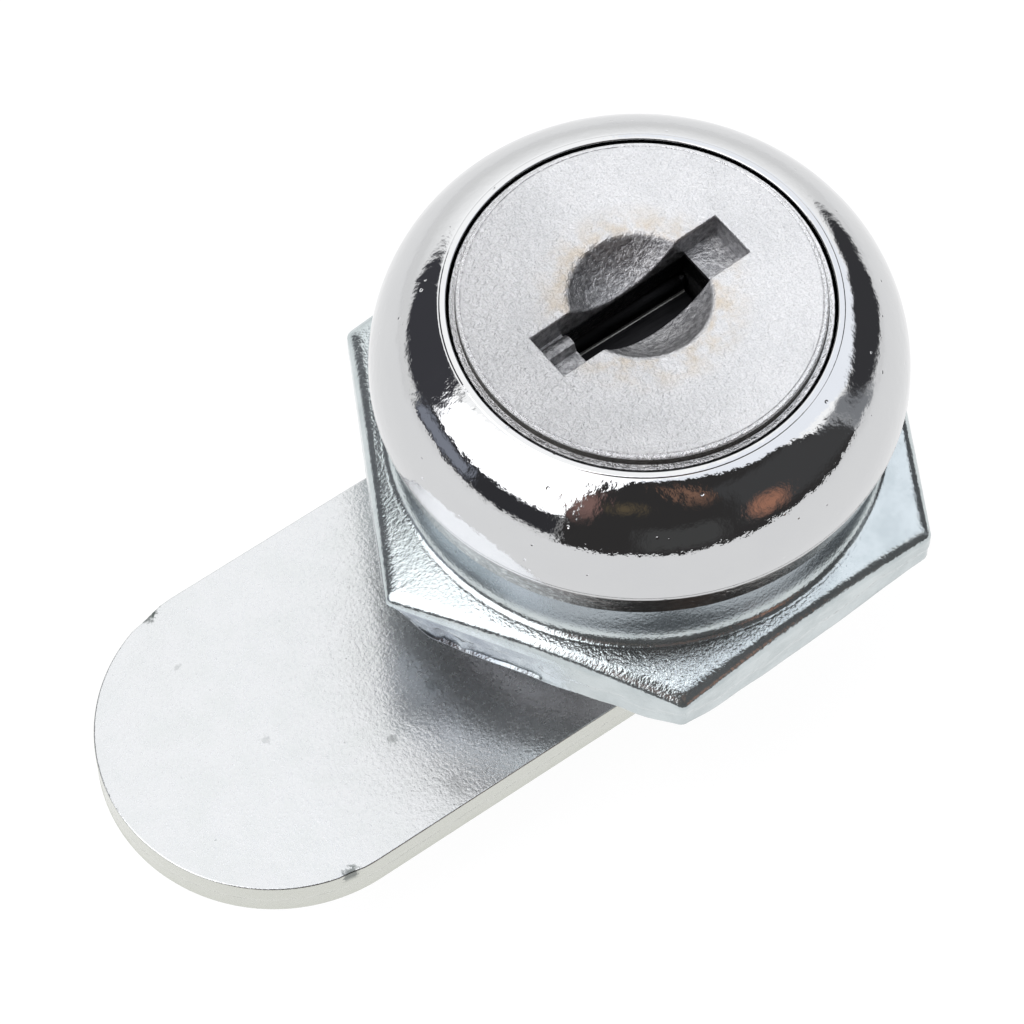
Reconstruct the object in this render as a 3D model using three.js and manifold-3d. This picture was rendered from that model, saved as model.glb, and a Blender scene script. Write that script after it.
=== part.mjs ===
// A wafer cam lock: domed chrome head on a threaded barrel, a rotating plug with a shuttered
// keyway, sprung wafers, a stamped hex nut and a flat cam held on the plug's tail by a screw.
// Millimetres. The origin is the centre of the head's back face, which seats on the panel.
// +Z runs along the lock's axis towards the key face, and +X along the cam to its tip.
import * as THREE from 'three';
import { mergeVertices } from 'three/addons/utils/BufferGeometryUtils.js';
import Module from 'manifold-3d';

const wasm = await Module();
wasm.setup();

// ---- Driving dimensions -------------------------------------------------------------------

const GAP = 0.3; // clearance between pieces that touch on the real lock
const THROUGH = 1; // how far a cutter runs past the face that it cuts
const ROUND = 72; // sides of a large round
const SMALL_ROUND = 24; // sides of a small round

// Head and barrel, one die casting
const HEAD_R = 11.5;
const HEAD_H = 6.7;
const DOME_IN = 3.65; // how far the dome draws in from the head's side to its lip
const DOME_H = 4.84;
const SEAT_R = 11.1; // outer edge of the seat on the panel
const SEAT_IN_R = 10.6;
const SEAT_RELIEF = 0.15; // the seat is a raised rim round this shallow relief
const SEAT_EDGE = 0.15; // chamfer on the seat's outer edge
const SKIRT_TURN_Z = 1.8; // below here the side draws in to the seat
const LIP_R = 8.17; // mouth of the recess that the plug's face turns in
const BARREL_R = 9.5; // M19 thread, drawn at its crest
const BARREL_END_Z = -8.2;
const BARREL_CHAMFER = 0.4;
const FLAT_Y = 8; // the barrel is 16 across its flats

// Plug
const PLUG_R = 6.3;
const PLUG_TOP_Z = 4.2;
const TAIL_HALF = 3.5; // the tail is a square bar
const TAIL_END_Z = -11.5;
const KEYWAY_HALF_X = 3.3;
const KEYWAY_HALF_Y = 1.05;
const KEYWAY_END_Z = -7.2;

// Face cap on the front of the plug
const FACE_Z = 7;
const CAP_R = LIP_R - GAP;
const FACE_R = 7.77; // the face stands up inside a narrow ledge
const LEDGE_Z = 6.46;
const CAP_CHAMFER = 0.1;
const CAP_BASE_Z = PLUG_TOP_Z + GAP;
const DISH_R = 3.07;
const DISH_DEPTH = 1.55;
const SLOT_HALF_X = 4.94;
const SLOT_HALF_Y = 1.14;
const POCKET_DEPTH = 1.3; // the slot's two ends are blind pockets
const RIB_R = 0.5; // a rounded rib lies in one of them
const RIB_Y = -0.45;
const RIB_SINK = 0.15; // how far the rib runs into the pocket's end wall
const PEG_R = 0.8;
const PEG_Y = 4.9;
const PEG_LENGTH = 1.2;

// Wafers
const WAFER_COUNT = 5;
const WAFER_FIRST_Z = -0.75;
const WAFER_PITCH = 1.45;
const WAFER_T = 0.8;
const WAFER_HALF_Y = 2.3;
const WAFER_SLOT_H = 1.1;
const WAFER_SIDE_GAP = 0.2;
const WAFER_END_GAP = 0.05; // how far a wafer's ends lie below the plug's surface
const WAFER_LIFT = 0.6; // how far a wafer springs out with no key in
const WINDOW_HALF_X = 3.3;
const WINDOW_HALF_Y = 1.1;
const WINDOW_OFFSETS = [0.5, -0.3, 0.2, -0.5, 0.4]; // the key's code, one cut for each wafer
const EAR_X = 0.4;
const EAR_W = 0.7;
const EAR_END_Y = 4.1;
const GROOVE_DEPTH = WAFER_LIFT + 0.5; // of the grooves in the barrel that the wafers spring into

// Wafer springs
const SPRING_Y = 3.45;
const SPRING_R = 0.6;
const SPRING_WIRE_R = 0.12;
const SPRING_TURNS = 6;
const SPRING_POCKET_X = 3.2;
const SPRING_POCKET_H = 1.9;

// Dust shutter
const PIN_Y = -1.75;
const PIN_Z = 3.2;
const PIN_R = 0.35;
const PIN_HALF_X = 4.1;
const PIN_BORE_R = 0.5; // in the plug
const KNUCKLE_BORE_R = 0.45;
const SHUTTER_HALF_X = 3.1;
const SHUTTER_T = 0.45;
const SHUTTER_TIP_Y = 1;
const KNUCKLE_R = 0.8;
const KNUCKLE_IN_X = 1.1; // the two knuckles leave room for the spring between them
const SHUTTER_WELL = { x: 3.5, yLow: -2.9, yHigh: 1.35, z: 0.25 };
const TORSION_R = 0.62;
const TORSION_WIRE_R = 0.1;
const TORSION_TURNS = 4;

// Stamped hex nut: a hex flange with a round hub rising from it
const NUT_CORNER_R = 13.6;
const NUT_TURN = THREE.MathUtils.degToRad(2);
const NUT_BORE_R = BARREL_R + GAP;
const NUT_BASE_Z = -6.3;
const NUT_TOP_IN_Z = -3.55; // top of the flange at the hub, and at the corners
const NUT_TOP_OUT_Z = -3.9;
const HUB_TOP_Z = -1.1;
const HUB_R = 10.35;
const HUB_EDGE = 0.15; // chamfer on the hub's rim
const HUB_DRAFT = 0.15; // how far the hub widens from its rim to the cove
const HUB_FOOT_R = 11.2; // where the cove round the hub meets the flange
const COVE_H = 1.3;
const CORNER_CHAMFER = THREE.MathUtils.degToRad(18);

// Stop: a lug on the barrel's end and a tabbed washer on the plug's tail
const LUG_R_IN = 7.3;
const LUG_R_OUT = 9.3;
const LUG_H = 1.2;
const WASHER_T = 1;
const WASHER_R = 7;
const TAB_R = 9.2;
const TAB_FROM = THREE.MathUtils.degToRad(2.5);
const TAB_TO = THREE.MathUtils.degToRad(87.5);
const SQUARE_HOLE_HALF = TAIL_HALF + GAP;

// Cam
const CAM_TOP_Z = BARREL_END_Z - WASHER_T - 2 * GAP;
const CAM_T = 2;
const CAM_HALF_W = 7.9;
const CAM_TIP_X = 27.15;

// Split lock washer and pan-head screw
const SPLIT_WASHER_IN_R = 2.75;
const SPLIT_WASHER_R = 5.2;
const SPLIT_WASHER_T = 1.1;
const SPLIT_GAP = 0.7;
const SPLIT_TURN = -35; // degrees
const SCREW_R = 2.4;
const SCREW_BORE_R = 2.7;
const SCREW_BORE_Z = -7.6;
const SCREW_TIP_Z = -7.9;
const SCREW_TIP_CHAMFER = 0.3;
const SCREW_HEAD_R = 4.6;
const SCREW_HEAD_H = 2.7;
const RECESS_REACH = 2.3;
const RECESS_HALF_W = 0.55;
const RECESS_DEPTH = 1.5;

// ---- Materials ----------------------------------------------------------------------------

function material(color, roughness, metalness) {
  return new THREE.MeshStandardMaterial({ color, roughness, metalness });
}

const chrome = () => material(0xd9dbdc, 0.08, 1);
const satinSteel = () => material(0xc4c3c0, 0.42, 1);
const castZinc = () => material(0x8f9294, 0.5, 1);
const zincPlate = () => material(0xc3cbce, 0.3, 1);
const brass = () => material(0xc79a4b, 0.3, 1);
const springSteel = () => material(0x9a9ea3, 0.25, 1);

// ---- Solids -------------------------------------------------------------------------------

function solid(geometry) {
  const shape = geometry.index ? geometry.clone() : mergeVertices(geometry);
  shape.deleteAttribute('normal');
  shape.deleteAttribute('uv');
  const merged = mergeVertices(shape, 1e-5);
  return new wasm.Manifold(
    new wasm.Mesh({
      numProp: 3,
      vertProperties: new Float32Array(merged.attributes.position.array),
      triVerts: new Uint32Array(merged.index.array),
    }),
  );
}

function toGeometry(manifold) {
  const mesh = manifold.getMesh();
  const geometry = new THREE.BufferGeometry();
  const positions = new Float32Array(mesh.vertProperties);
  geometry.setAttribute('position', new THREE.BufferAttribute(positions, 3));
  geometry.setIndex(new THREE.BufferAttribute(new Uint32Array(mesh.triVerts), 1));
  const flat = geometry.toNonIndexed();
  flat.computeVertexNormals();
  return flat;
}

function named(name, manifold, look) {
  const mesh = new THREE.Mesh(toGeometry(manifold), look);
  mesh.name = name;
  return mesh;
}

// A solid of revolution about Z from a closed outline of [radius, z] points, anticlockwise.
function turned(outline, sides = ROUND) {
  const closed = [...outline, outline[0]];
  const points = closed.map(([r, z]) => new THREE.Vector2(r, z));
  return solid(new THREE.LatheGeometry(points, sides).rotateX(Math.PI / 2));
}

function rod(radius, zLow, zHigh, sides = SMALL_ROUND) {
  const points = [[0, zLow], [radius, zLow], [radius, zHigh], [0, zHigh]];
  const profile = points.map(([r, z]) => new THREE.Vector2(r, z));
  return solid(new THREE.LatheGeometry(profile, sides).rotateX(Math.PI / 2));
}

// A round bar along X, centred on x = 0 at the given y and z.
function crossRod(radius, halfLength, y, z, sides = SMALL_ROUND) {
  const profile = [[0, -halfLength], [radius, -halfLength], [radius, halfLength], [0, halfLength]];
  const points = profile.map(([r, h]) => new THREE.Vector2(r, h));
  const geometry = new THREE.LatheGeometry(points, sides).rotateZ(-Math.PI / 2);
  return solid(geometry.translate(0, y, z));
}

function block(xLow, xHigh, yLow, yHigh, zLow, zHigh) {
  const geometry = new THREE.BoxGeometry(xHigh - xLow, yHigh - yLow, zHigh - zLow);
  geometry.translate((xLow + xHigh) / 2, (yLow + yHigh) / 2, (zLow + zHigh) / 2);
  return solid(geometry);
}

// A flat plate of the given outline between two heights.
function plate(shape, zLow, zHigh, curveSegments = SMALL_ROUND) {
  const options = { depth: zHigh - zLow, bevelEnabled: false, curveSegments };
  return solid(new THREE.ExtrudeGeometry(shape, options).translate(0, 0, zLow));
}

function squareBar(half, zLow, zHigh) {
  return block(-half, half, -half, half, zLow, zHigh);
}

// ---- Lock body ----------------------------------------------------------------------------

// The dome is a quarter ellipse from the head's side in to its lip.
function domeOutline() {
  const steps = 20;
  const points = [];
  const rCentre = HEAD_R - DOME_IN;
  const zCentre = HEAD_H - DOME_H;
  const lipAngle = Math.acos((LIP_R - rCentre) / DOME_IN);
  for (let i = 0; i <= steps; i += 1) {
    const a = (lipAngle * i) / steps;
    points.push([rCentre + DOME_IN * Math.cos(a), zCentre + DOME_H * Math.sin(a)]);
  }
  return points;
}

function bodyOutline() {
  const barrelEndR = BARREL_R - BARREL_CHAMFER;
  return [
    [PLUG_R + GAP, BARREL_END_Z],
    [barrelEndR, BARREL_END_Z],
    [BARREL_R, BARREL_END_Z + BARREL_CHAMFER],
    [BARREL_R, SEAT_RELIEF],
    [SEAT_IN_R, SEAT_RELIEF],
    [SEAT_IN_R, 0],
    [SEAT_R, 0],
    [SEAT_R + SEAT_EDGE, SEAT_EDGE],
    [HEAD_R, SKIRT_TURN_Z],
    ...domeOutline(),
    [LIP_R, PLUG_TOP_Z],
    [PLUG_R + GAP, PLUG_TOP_Z],
  ];
}

// The wafers spring into grooves along the bore, which meet them with the plug at 0 and at 90.
function waferGrooves() {
  const reach = PLUG_R + GROOVE_DEPTH;
  const half = WAFER_HALF_Y + GAP;
  const top = WAFER_FIRST_Z + WAFER_SLOT_H;
  const alongX = block(-reach, reach, -half, half, BARREL_END_Z - THROUGH, top);
  const alongY = block(-half, half, -reach, reach, BARREL_END_Z - THROUGH, top);
  return alongX.add(alongY);
}

// The lug is half a ring on the -Y side, so the washer's tab turns through the other half.
function stopLug() {
  const shape = new THREE.Shape();
  shape.absarc(0, 0, LUG_R_OUT, Math.PI, 2 * Math.PI, false);
  shape.absarc(0, 0, LUG_R_IN, 2 * Math.PI, Math.PI, true);
  return plate(shape, BARREL_END_Z - LUG_H, BARREL_END_Z + BARREL_CHAMFER);
}

function lockBody() {
  const depth = BARREL_END_Z - LUG_H - THROUGH;
  const width = 2 * BARREL_R;
  const body = turned(bodyOutline()).add(stopLug()).subtract(waferGrooves());
  const nearFlat = block(-width, width, -width, -FLAT_Y, depth, 0);
  const farFlat = block(-width, width, FLAT_Y, width, depth, 0);
  return named('lock_body', body.subtract(nearFlat).subtract(farFlat), chrome());
}

// ---- Plug and face cap --------------------------------------------------------------------

const waferNumbers = Array.from({ length: WAFER_COUNT }, (_, i) => i);
const waferZ = (i) => WAFER_FIRST_Z - i * WAFER_PITCH;
const waferSide = (i) => (i % 2 === 0 ? 1 : -1); // wafers spring out by turns at +X and -X

function waferSlot(i) {
  const halfY = WAFER_HALF_Y + WAFER_SIDE_GAP;
  const halfH = WAFER_SLOT_H / 2;
  const reach = PLUG_R + THROUGH;
  return block(-reach, reach, -halfY, halfY, waferZ(i) - halfH, waferZ(i) + halfH);
}

// The spring's pocket lies beside the slot and runs out of the plug the way the wafer moves.
function springPocket(i) {
  const side = waferSide(i);
  const xEnds = [-side * SPRING_POCKET_X, side * (PLUG_R + THROUGH)].sort((a, b) => a - b);
  const yEnds = [side * WAFER_HALF_Y, side * (EAR_END_Y + GAP)].sort((a, b) => a - b);
  const halfH = SPRING_POCKET_H / 2;
  return block(...xEnds, ...yEnds, waferZ(i) - halfH, waferZ(i) + halfH);
}

function plug() {
  const well = SHUTTER_WELL;
  const top = PLUG_TOP_Z + THROUGH;
  let core = rod(PLUG_R, BARREL_END_Z, PLUG_TOP_Z, ROUND);
  core = core.add(squareBar(TAIL_HALF, TAIL_END_Z, BARREL_END_Z + THROUGH));
  const keyway = block(-KEYWAY_HALF_X, KEYWAY_HALF_X, -KEYWAY_HALF_Y, KEYWAY_HALF_Y, KEYWAY_END_Z, top);
  core = core.subtract(keyway);
  core = core.subtract(block(-well.x, well.x, well.yLow, well.yHigh, well.z, top));
  core = core.subtract(crossRod(PIN_BORE_R, PIN_HALF_X + GAP, PIN_Y, PIN_Z));
  core = core.subtract(rod(SCREW_BORE_R, TAIL_END_Z - THROUGH, SCREW_BORE_Z));
  for (const side of [-1, 1]) {
    const hole = rod(PEG_R + GAP, CAP_BASE_Z - PEG_LENGTH - 2 * GAP, top);
    core = core.subtract(hole.translate([0, side * PEG_Y, 0]));
  }
  for (const i of waferNumbers) {
    core = core.subtract(waferSlot(i)).subtract(springPocket(i));
  }
  return named('plug', core, castZinc());
}

function dishCutter() {
  const radius = (DISH_R * DISH_R + DISH_DEPTH * DISH_DEPTH) / (2 * DISH_DEPTH);
  const ball = new THREE.SphereGeometry(radius, ROUND, SMALL_ROUND * 2).rotateX(Math.PI / 2);
  return solid(ball.translate(0, 0, FACE_Z - DISH_DEPTH + radius));
}

// The dish and the slot are sunk in the face. Only the slot's middle runs right through.
function faceCap() {
  const pocketZ = FACE_Z - POCKET_DEPTH;
  const top = FACE_Z + THROUGH;
  let cap = turned([
    [0, CAP_BASE_Z],
    [CAP_R, CAP_BASE_Z],
    [CAP_R, LEDGE_Z],
    [FACE_R, LEDGE_Z],
    [FACE_R, FACE_Z - CAP_CHAMFER],
    [FACE_R - CAP_CHAMFER, FACE_Z],
    [0, FACE_Z],
  ]);
  cap = cap.subtract(dishCutter());
  cap = cap.subtract(block(-SLOT_HALF_X, SLOT_HALF_X, -SLOT_HALF_Y, SLOT_HALF_Y, pocketZ, top));
  const ribHalf = (SLOT_HALF_X - KEYWAY_HALF_X) / 2;
  const rib = crossRod(RIB_R, ribHalf + RIB_SINK / 2, RIB_Y, pocketZ);
  cap = cap.add(rib.translate([KEYWAY_HALF_X + ribHalf + RIB_SINK / 2, 0, 0]));
  const base = CAP_BASE_Z - THROUGH;
  cap = cap.subtract(block(-KEYWAY_HALF_X, KEYWAY_HALF_X, -SLOT_HALF_Y, SLOT_HALF_Y, base, top));
  for (const side of [-1, 1]) {
    const peg = rod(PEG_R, CAP_BASE_Z - PEG_LENGTH, CAP_BASE_Z + GAP);
    cap = cap.add(peg.translate([0, side * PEG_Y, 0]));
  }
  return named('face_cap', cap, satinSteel());
}

// ---- Wafers and their springs -------------------------------------------------------------

// Each wafer is a brass plate with round ends flush with the plug, a window for the key's
// blade and an ear on one side that its spring bears on.
function wafer(i) {
  const side = waferSide(i);
  const z = waferZ(i);
  const low = z - WAFER_T / 2;
  const high = z + WAFER_T / 2;
  const strip = block(-PLUG_R, PLUG_R, -WAFER_HALF_Y, WAFER_HALF_Y, low - THROUGH, high + THROUGH);
  const body = rod(PLUG_R - WAFER_END_GAP, low, high, ROUND).intersect(strip);
  const offset = WINDOW_OFFSETS[i];
  const window = block(
    offset - WINDOW_HALF_X,
    offset + WINDOW_HALF_X,
    -WINDOW_HALF_Y,
    WINDOW_HALF_Y,
    low - THROUGH,
    high + THROUGH,
  );
  const xEnds = [side * EAR_X, side * (EAR_X + EAR_W)].sort((a, b) => a - b);
  const yEnds = [side * (WAFER_HALF_Y - GAP), side * EAR_END_Y].sort((a, b) => a - b);
  const ear = block(...xEnds, ...yEnds, low, high);
  return named(`wafer_${i + 1}`, body.subtract(window).add(ear), brass());
}

class Helix extends THREE.Curve {
  constructor(radius, length, turns) {
    super();
    Object.assign(this, { radius, length, turns });
  }

  // The helix runs along X, centred on the X axis.
  getPoint(t, target = new THREE.Vector3()) {
    const angle = 2 * Math.PI * this.turns * t;
    return target.set(this.length * t, this.radius * Math.cos(angle), this.radius * Math.sin(angle));
  }
}

function coil(radius, wireR, length, turns, stepsPerTurn = 10) {
  const section = new THREE.Shape();
  section.absarc(0, 0, wireR, 0, 2 * Math.PI, false);
  const options = {
    steps: turns * stepsPerTurn,
    curveSegments: 3,
    extrudePath: new Helix(radius, length, turns),
    bevelEnabled: false,
  };
  return solid(new THREE.ExtrudeGeometry(section, options));
}

function waferSpring(i) {
  const side = waferSide(i);
  const from = -SPRING_POCKET_X + 1.5 * SPRING_WIRE_R;
  const to = EAR_X - 1.5 * SPRING_WIRE_R;
  const spring = coil(SPRING_R, SPRING_WIRE_R, to - from, SPRING_TURNS);
  const turn = side > 0 ? 0 : 180;
  const placed = spring.translate([from, SPRING_Y, 0]).rotate([0, 0, turn]).translate([0, 0, waferZ(i)]);
  return named(`wafer_spring_${i + 1}`, placed, springSteel());
}

// ---- Dust shutter -------------------------------------------------------------------------

function knuckle(side) {
  const half = (SHUTTER_HALF_X - KNUCKLE_IN_X) / 2;
  const bar = crossRod(KNUCKLE_R, half, PIN_Y, PIN_Z);
  return bar.translate([side * (KNUCKLE_IN_X + half), 0, 0]);
}

function shutter() {
  const x = SHUTTER_HALF_X;
  const low = PIN_Z - SHUTTER_T / 2;
  const high = PIN_Z + SHUTTER_T / 2;
  let leaf = block(-x, x, PIN_Y, SHUTTER_TIP_Y, low, high);
  const room = [-KNUCKLE_IN_X, KNUCKLE_IN_X, PIN_Y - THROUGH, PIN_Y + KNUCKLE_R];
  leaf = leaf.subtract(block(...room, low - THROUGH, high + THROUGH)); // for the spring
  leaf = leaf.add(knuckle(-1)).add(knuckle(1));
  leaf = leaf.subtract(crossRod(KNUCKLE_BORE_R, x + THROUGH, PIN_Y, PIN_Z));
  return named('shutter', leaf, springSteel());
}

function shutterPin() {
  return named('shutter_pin', crossRod(PIN_R, PIN_HALF_X, PIN_Y, PIN_Z), springSteel());
}

function shutterSpring() {
  const length = 2 * (KNUCKLE_IN_X - GAP) - 2 * TORSION_WIRE_R;
  const spring = coil(TORSION_R, TORSION_WIRE_R, length, TORSION_TURNS);
  return named('shutter_spring', spring.translate([-length / 2, PIN_Y, PIN_Z]), springSteel());
}

// ---- Nut ----------------------------------------------------------------------------------

function nutOutline() {
  const past = NUT_CORNER_R + THROUGH;
  const flatR = NUT_CORNER_R * Math.cos(Math.PI / 6);
  const chamferH = (past - flatR) * Math.tan(CORNER_CHAMFER);
  const topSlope = (NUT_TOP_IN_Z - NUT_TOP_OUT_Z) / (NUT_CORNER_R - HUB_FOOT_R);
  const coveTopR = HUB_R + HUB_DRAFT;
  const cove = new THREE.QuadraticBezierCurve(
    new THREE.Vector2(HUB_FOOT_R, NUT_TOP_IN_Z),
    new THREE.Vector2(coveTopR + HUB_DRAFT, NUT_TOP_IN_Z),
    new THREE.Vector2(coveTopR, NUT_TOP_IN_Z + COVE_H),
  );
  return [
    [NUT_BORE_R, NUT_BASE_Z],
    [flatR, NUT_BASE_Z],
    [past, NUT_BASE_Z + chamferH],
    [past, NUT_TOP_OUT_Z - THROUGH * topSlope],
    ...cove.getPoints(6).map((p) => [p.x, p.y]),
    [HUB_R, HUB_TOP_Z - HUB_EDGE],
    [HUB_R - HUB_EDGE, HUB_TOP_Z],
    [NUT_BORE_R, HUB_TOP_Z],
  ];
}

function hexNut() {
  const hexagon = new THREE.Shape();
  for (let k = 0; k < 6; k += 1) {
    const a = NUT_TURN + (k * Math.PI) / 3;
    const corner = [NUT_CORNER_R * Math.cos(a), NUT_CORNER_R * Math.sin(a)];
    if (k === 0) hexagon.moveTo(...corner);
    else hexagon.lineTo(...corner);
  }
  const prism = plate(hexagon, NUT_BASE_Z - THROUGH, HUB_TOP_Z + THROUGH);
  return named('hex_nut', turned(nutOutline()).intersect(prism), zincPlate());
}

// ---- Tail pieces --------------------------------------------------------------------------

function stopWasher() {
  const top = BARREL_END_Z - GAP;
  const disc = rod(WASHER_R, top - WASHER_T, top, ROUND);
  const tab = new THREE.Shape();
  tab.absarc(0, 0, TAB_R, TAB_FROM, TAB_TO, false);
  tab.absarc(0, 0, WASHER_R - GAP, TAB_TO, TAB_FROM, true);
  const hole = squareBar(SQUARE_HOLE_HALF, top - WASHER_T - THROUGH, top + THROUGH);
  return named('stop_washer', disc.add(plate(tab, top - WASHER_T, top)).subtract(hole), zincPlate());
}

function cam() {
  const shape = new THREE.Shape();
  shape.absarc(CAM_TIP_X - CAM_HALF_W, 0, CAM_HALF_W, -Math.PI / 2, Math.PI / 2, false);
  shape.absarc(0, 0, CAM_HALF_W, Math.PI / 2, (3 * Math.PI) / 2, false);
  const blank = plate(shape, CAM_TOP_Z - CAM_T, CAM_TOP_Z);
  const hole = squareBar(SQUARE_HOLE_HALF, CAM_TOP_Z - CAM_T - THROUGH, CAM_TOP_Z + THROUGH);
  return named('cam', blank.subtract(hole), zincPlate());
}

function lockWasher() {
  const top = CAM_TOP_Z - CAM_T - GAP;
  const low = top - SPLIT_WASHER_T;
  const bore = rod(SPLIT_WASHER_IN_R, low - THROUGH, top + THROUGH, ROUND);
  const ring = rod(SPLIT_WASHER_R, low, top, ROUND).subtract(bore);
  const half = SPLIT_GAP / 2;
  const split = block(-half, half, 0, SPLIT_WASHER_R + THROUGH, low - THROUGH, top + THROUGH);
  return named('lock_washer', ring.subtract(split.rotate([0, 0, SPLIT_TURN])), zincPlate());
}

function camScrew() {
  const headTop = CAM_TOP_Z - CAM_T - SPLIT_WASHER_T - 2 * GAP;
  const headBase = headTop - SCREW_HEAD_H;
  const dome = new THREE.QuadraticBezierCurve(
    new THREE.Vector2(SCREW_HEAD_R * 0.6, headBase),
    new THREE.Vector2(SCREW_HEAD_R, headBase),
    new THREE.Vector2(SCREW_HEAD_R, headBase + SCREW_HEAD_H * 0.55),
  );
  let screw = turned([
    [0, headBase],
    ...dome.getPoints(6).map((p) => [p.x, p.y]),
    [SCREW_HEAD_R, headTop],
    [SCREW_R, headTop],
    [SCREW_R, SCREW_TIP_Z - SCREW_TIP_CHAMFER],
    [SCREW_R - SCREW_TIP_CHAMFER, SCREW_TIP_Z],
    [0, SCREW_TIP_Z],
  ], SMALL_ROUND * 2);
  const low = headBase - THROUGH;
  const high = headBase + RECESS_DEPTH;
  const cutX = block(-RECESS_REACH, RECESS_REACH, -RECESS_HALF_W, RECESS_HALF_W, low, high);
  const cutY = block(-RECESS_HALF_W, RECESS_HALF_W, -RECESS_REACH, RECESS_REACH, low, high);
  screw = screw.subtract(cutX).subtract(cutY);
  return named('cam_screw', screw, zincPlate());
}

// ---- Assembly -----------------------------------------------------------------------------

const lock = new THREE.Group();
lock.add(lockBody(), hexNut());

const turning = new THREE.Group(); // what the key turns
turning.add(plug(), faceCap(), shutterPin(), shutter(), shutterSpring());
for (const i of waferNumbers) {
  turning.add(wafer(i), waferSpring(i));
}
turning.add(stopWasher(), cam(), lockWasher(), camScrew());
lock.add(turning);

export default lock;
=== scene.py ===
"""Looks for the cam lock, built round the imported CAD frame.

Shapes are worked out in millimetres in the part's frame (origin at the centre of the head's
back face, +Z towards the key face, +X along the cam) and turned into metres when a piece is made.
"""

import math

import bmesh
import bpy
import numpy as np
from mathutils import Matrix, Vector, noise


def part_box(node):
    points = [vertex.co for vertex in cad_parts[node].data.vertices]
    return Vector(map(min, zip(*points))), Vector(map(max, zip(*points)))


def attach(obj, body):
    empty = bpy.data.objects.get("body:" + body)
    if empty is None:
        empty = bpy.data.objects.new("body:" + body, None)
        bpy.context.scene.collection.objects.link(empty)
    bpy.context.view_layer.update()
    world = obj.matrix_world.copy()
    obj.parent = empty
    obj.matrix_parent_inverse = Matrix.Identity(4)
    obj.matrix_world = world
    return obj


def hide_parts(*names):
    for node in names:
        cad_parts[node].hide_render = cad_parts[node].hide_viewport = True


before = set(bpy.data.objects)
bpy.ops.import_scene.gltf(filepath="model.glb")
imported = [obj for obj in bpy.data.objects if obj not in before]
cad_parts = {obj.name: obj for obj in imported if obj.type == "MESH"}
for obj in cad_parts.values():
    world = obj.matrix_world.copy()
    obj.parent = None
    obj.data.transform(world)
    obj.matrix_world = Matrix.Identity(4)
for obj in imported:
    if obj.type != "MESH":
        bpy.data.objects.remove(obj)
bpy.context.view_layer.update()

MM = 0.001


def low_high(node):
    """A CAD node's lowest and highest corners, in millimetres."""
    low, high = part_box(node)
    return low / MM, high / MM


body_low, body_high = low_high("lock_body")
cap_low, cap_high = low_high("face_cap")
nut_low, nut_high = low_high("hex_nut")
cam_low, cam_high = low_high("cam")
washer_low, washer_high = low_high("stop_washer")
spring_low, spring_high = low_high("lock_washer")
screw_low, screw_high = low_high("cam_screw")
shutter_high = low_high("shutter")[1]

# ---- Driving dimensions, millimetres -----------------------------------------------------------

HEAD_R = body_high.x
HEAD_H = body_high.z
DOME_IN = 3.65  # how far the dome's quarter ellipse reaches in from the head's side
DOME_H = 4.84
LIP_R = 8.17
LIP_EDGE = 0.06
LAND_R = 8.5  # the lip's flat land ends in a fine crease
LAND_Z = 6.65
SEAT_R = 11.1
SEAT_IN_R = 10.6
SEAT_RELIEF = 0.15
SKIRT_TURN_Z = 1.8
BARREL_R = 9.5
BARREL_END_Z = -8.2
FLAT_Y = 8.0
RECESS_Z = 4.2
BORE_R = 6.6
THREAD_PITCH = 1.0
THREAD_DEPTH = 0.45
THREAD_TOP_Z = -0.5
GROOVE_REACH = 7.4
GROOVE_HALF = 2.6
GROOVE_TOP_Z = 0.35
LUG_R_IN = 7.3
LUG_R_OUT = 9.3
LUG_END_Z = body_low.z

LEDGE_R = 8.05
FACE_Z = cap_high.z
CAP_BASE_Z = 4.5
FACE_R = 7.77
LEDGE_Z = FACE_Z - 0.46
BEVEL = 0.15  # of the face's rounded rim
SLOT_TURN = math.radians(2.0)
SLOT_SHIFT = (-0.03, -0.15)
DISH_R = 3.07
DISH_DEPTH = 1.55
SLOT_HALF_X = 4.94
SLOT_HALF_Y = 1.14
KEYWAY_HALF_X = 3.3
POCKET_Z = FACE_Z - 1.3
RIB_R = 0.5
RIB_Y = -0.45
PEG_R = 0.8
PEG_Y = 4.9

NUT_TURN = math.radians(2)
NUT_CORNER_R = 13.6
NUT_CORNER_ROUND = 0.4
NUT_BASE_Z = nut_low.z
NUT_TOP_Z = -3.25
NUT_TOP_SLOPE = 0.235
HUB_TOP_Z = nut_high.z
HUB_R = 10.35
HUB_DRAFT = 0.15
HUB_FOOT_R = 11.1
COVE_H = 1.1
NUT_BORE_R = 9.62
NUT_THREAD_DEPTH = 0.38
NUT_EDGE = 0.55  # the rim's rounding at the middle of a side
NUT_EDGE_CORNER = 1.35  # and at a corner
NUT_EDGE_DOWN = 0.62
NUT_ROLL = 0.25  # the rolled lower edge
NUT_CORNER_SLOPE = math.tan(math.radians(12))
TORN_CORNER = NUT_TURN  # the corner that the press left torn
TORN_PLACE = (NUT_CORNER_R, 2.5, -5.6)  # the middle of the darker patch on the torn side

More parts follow.
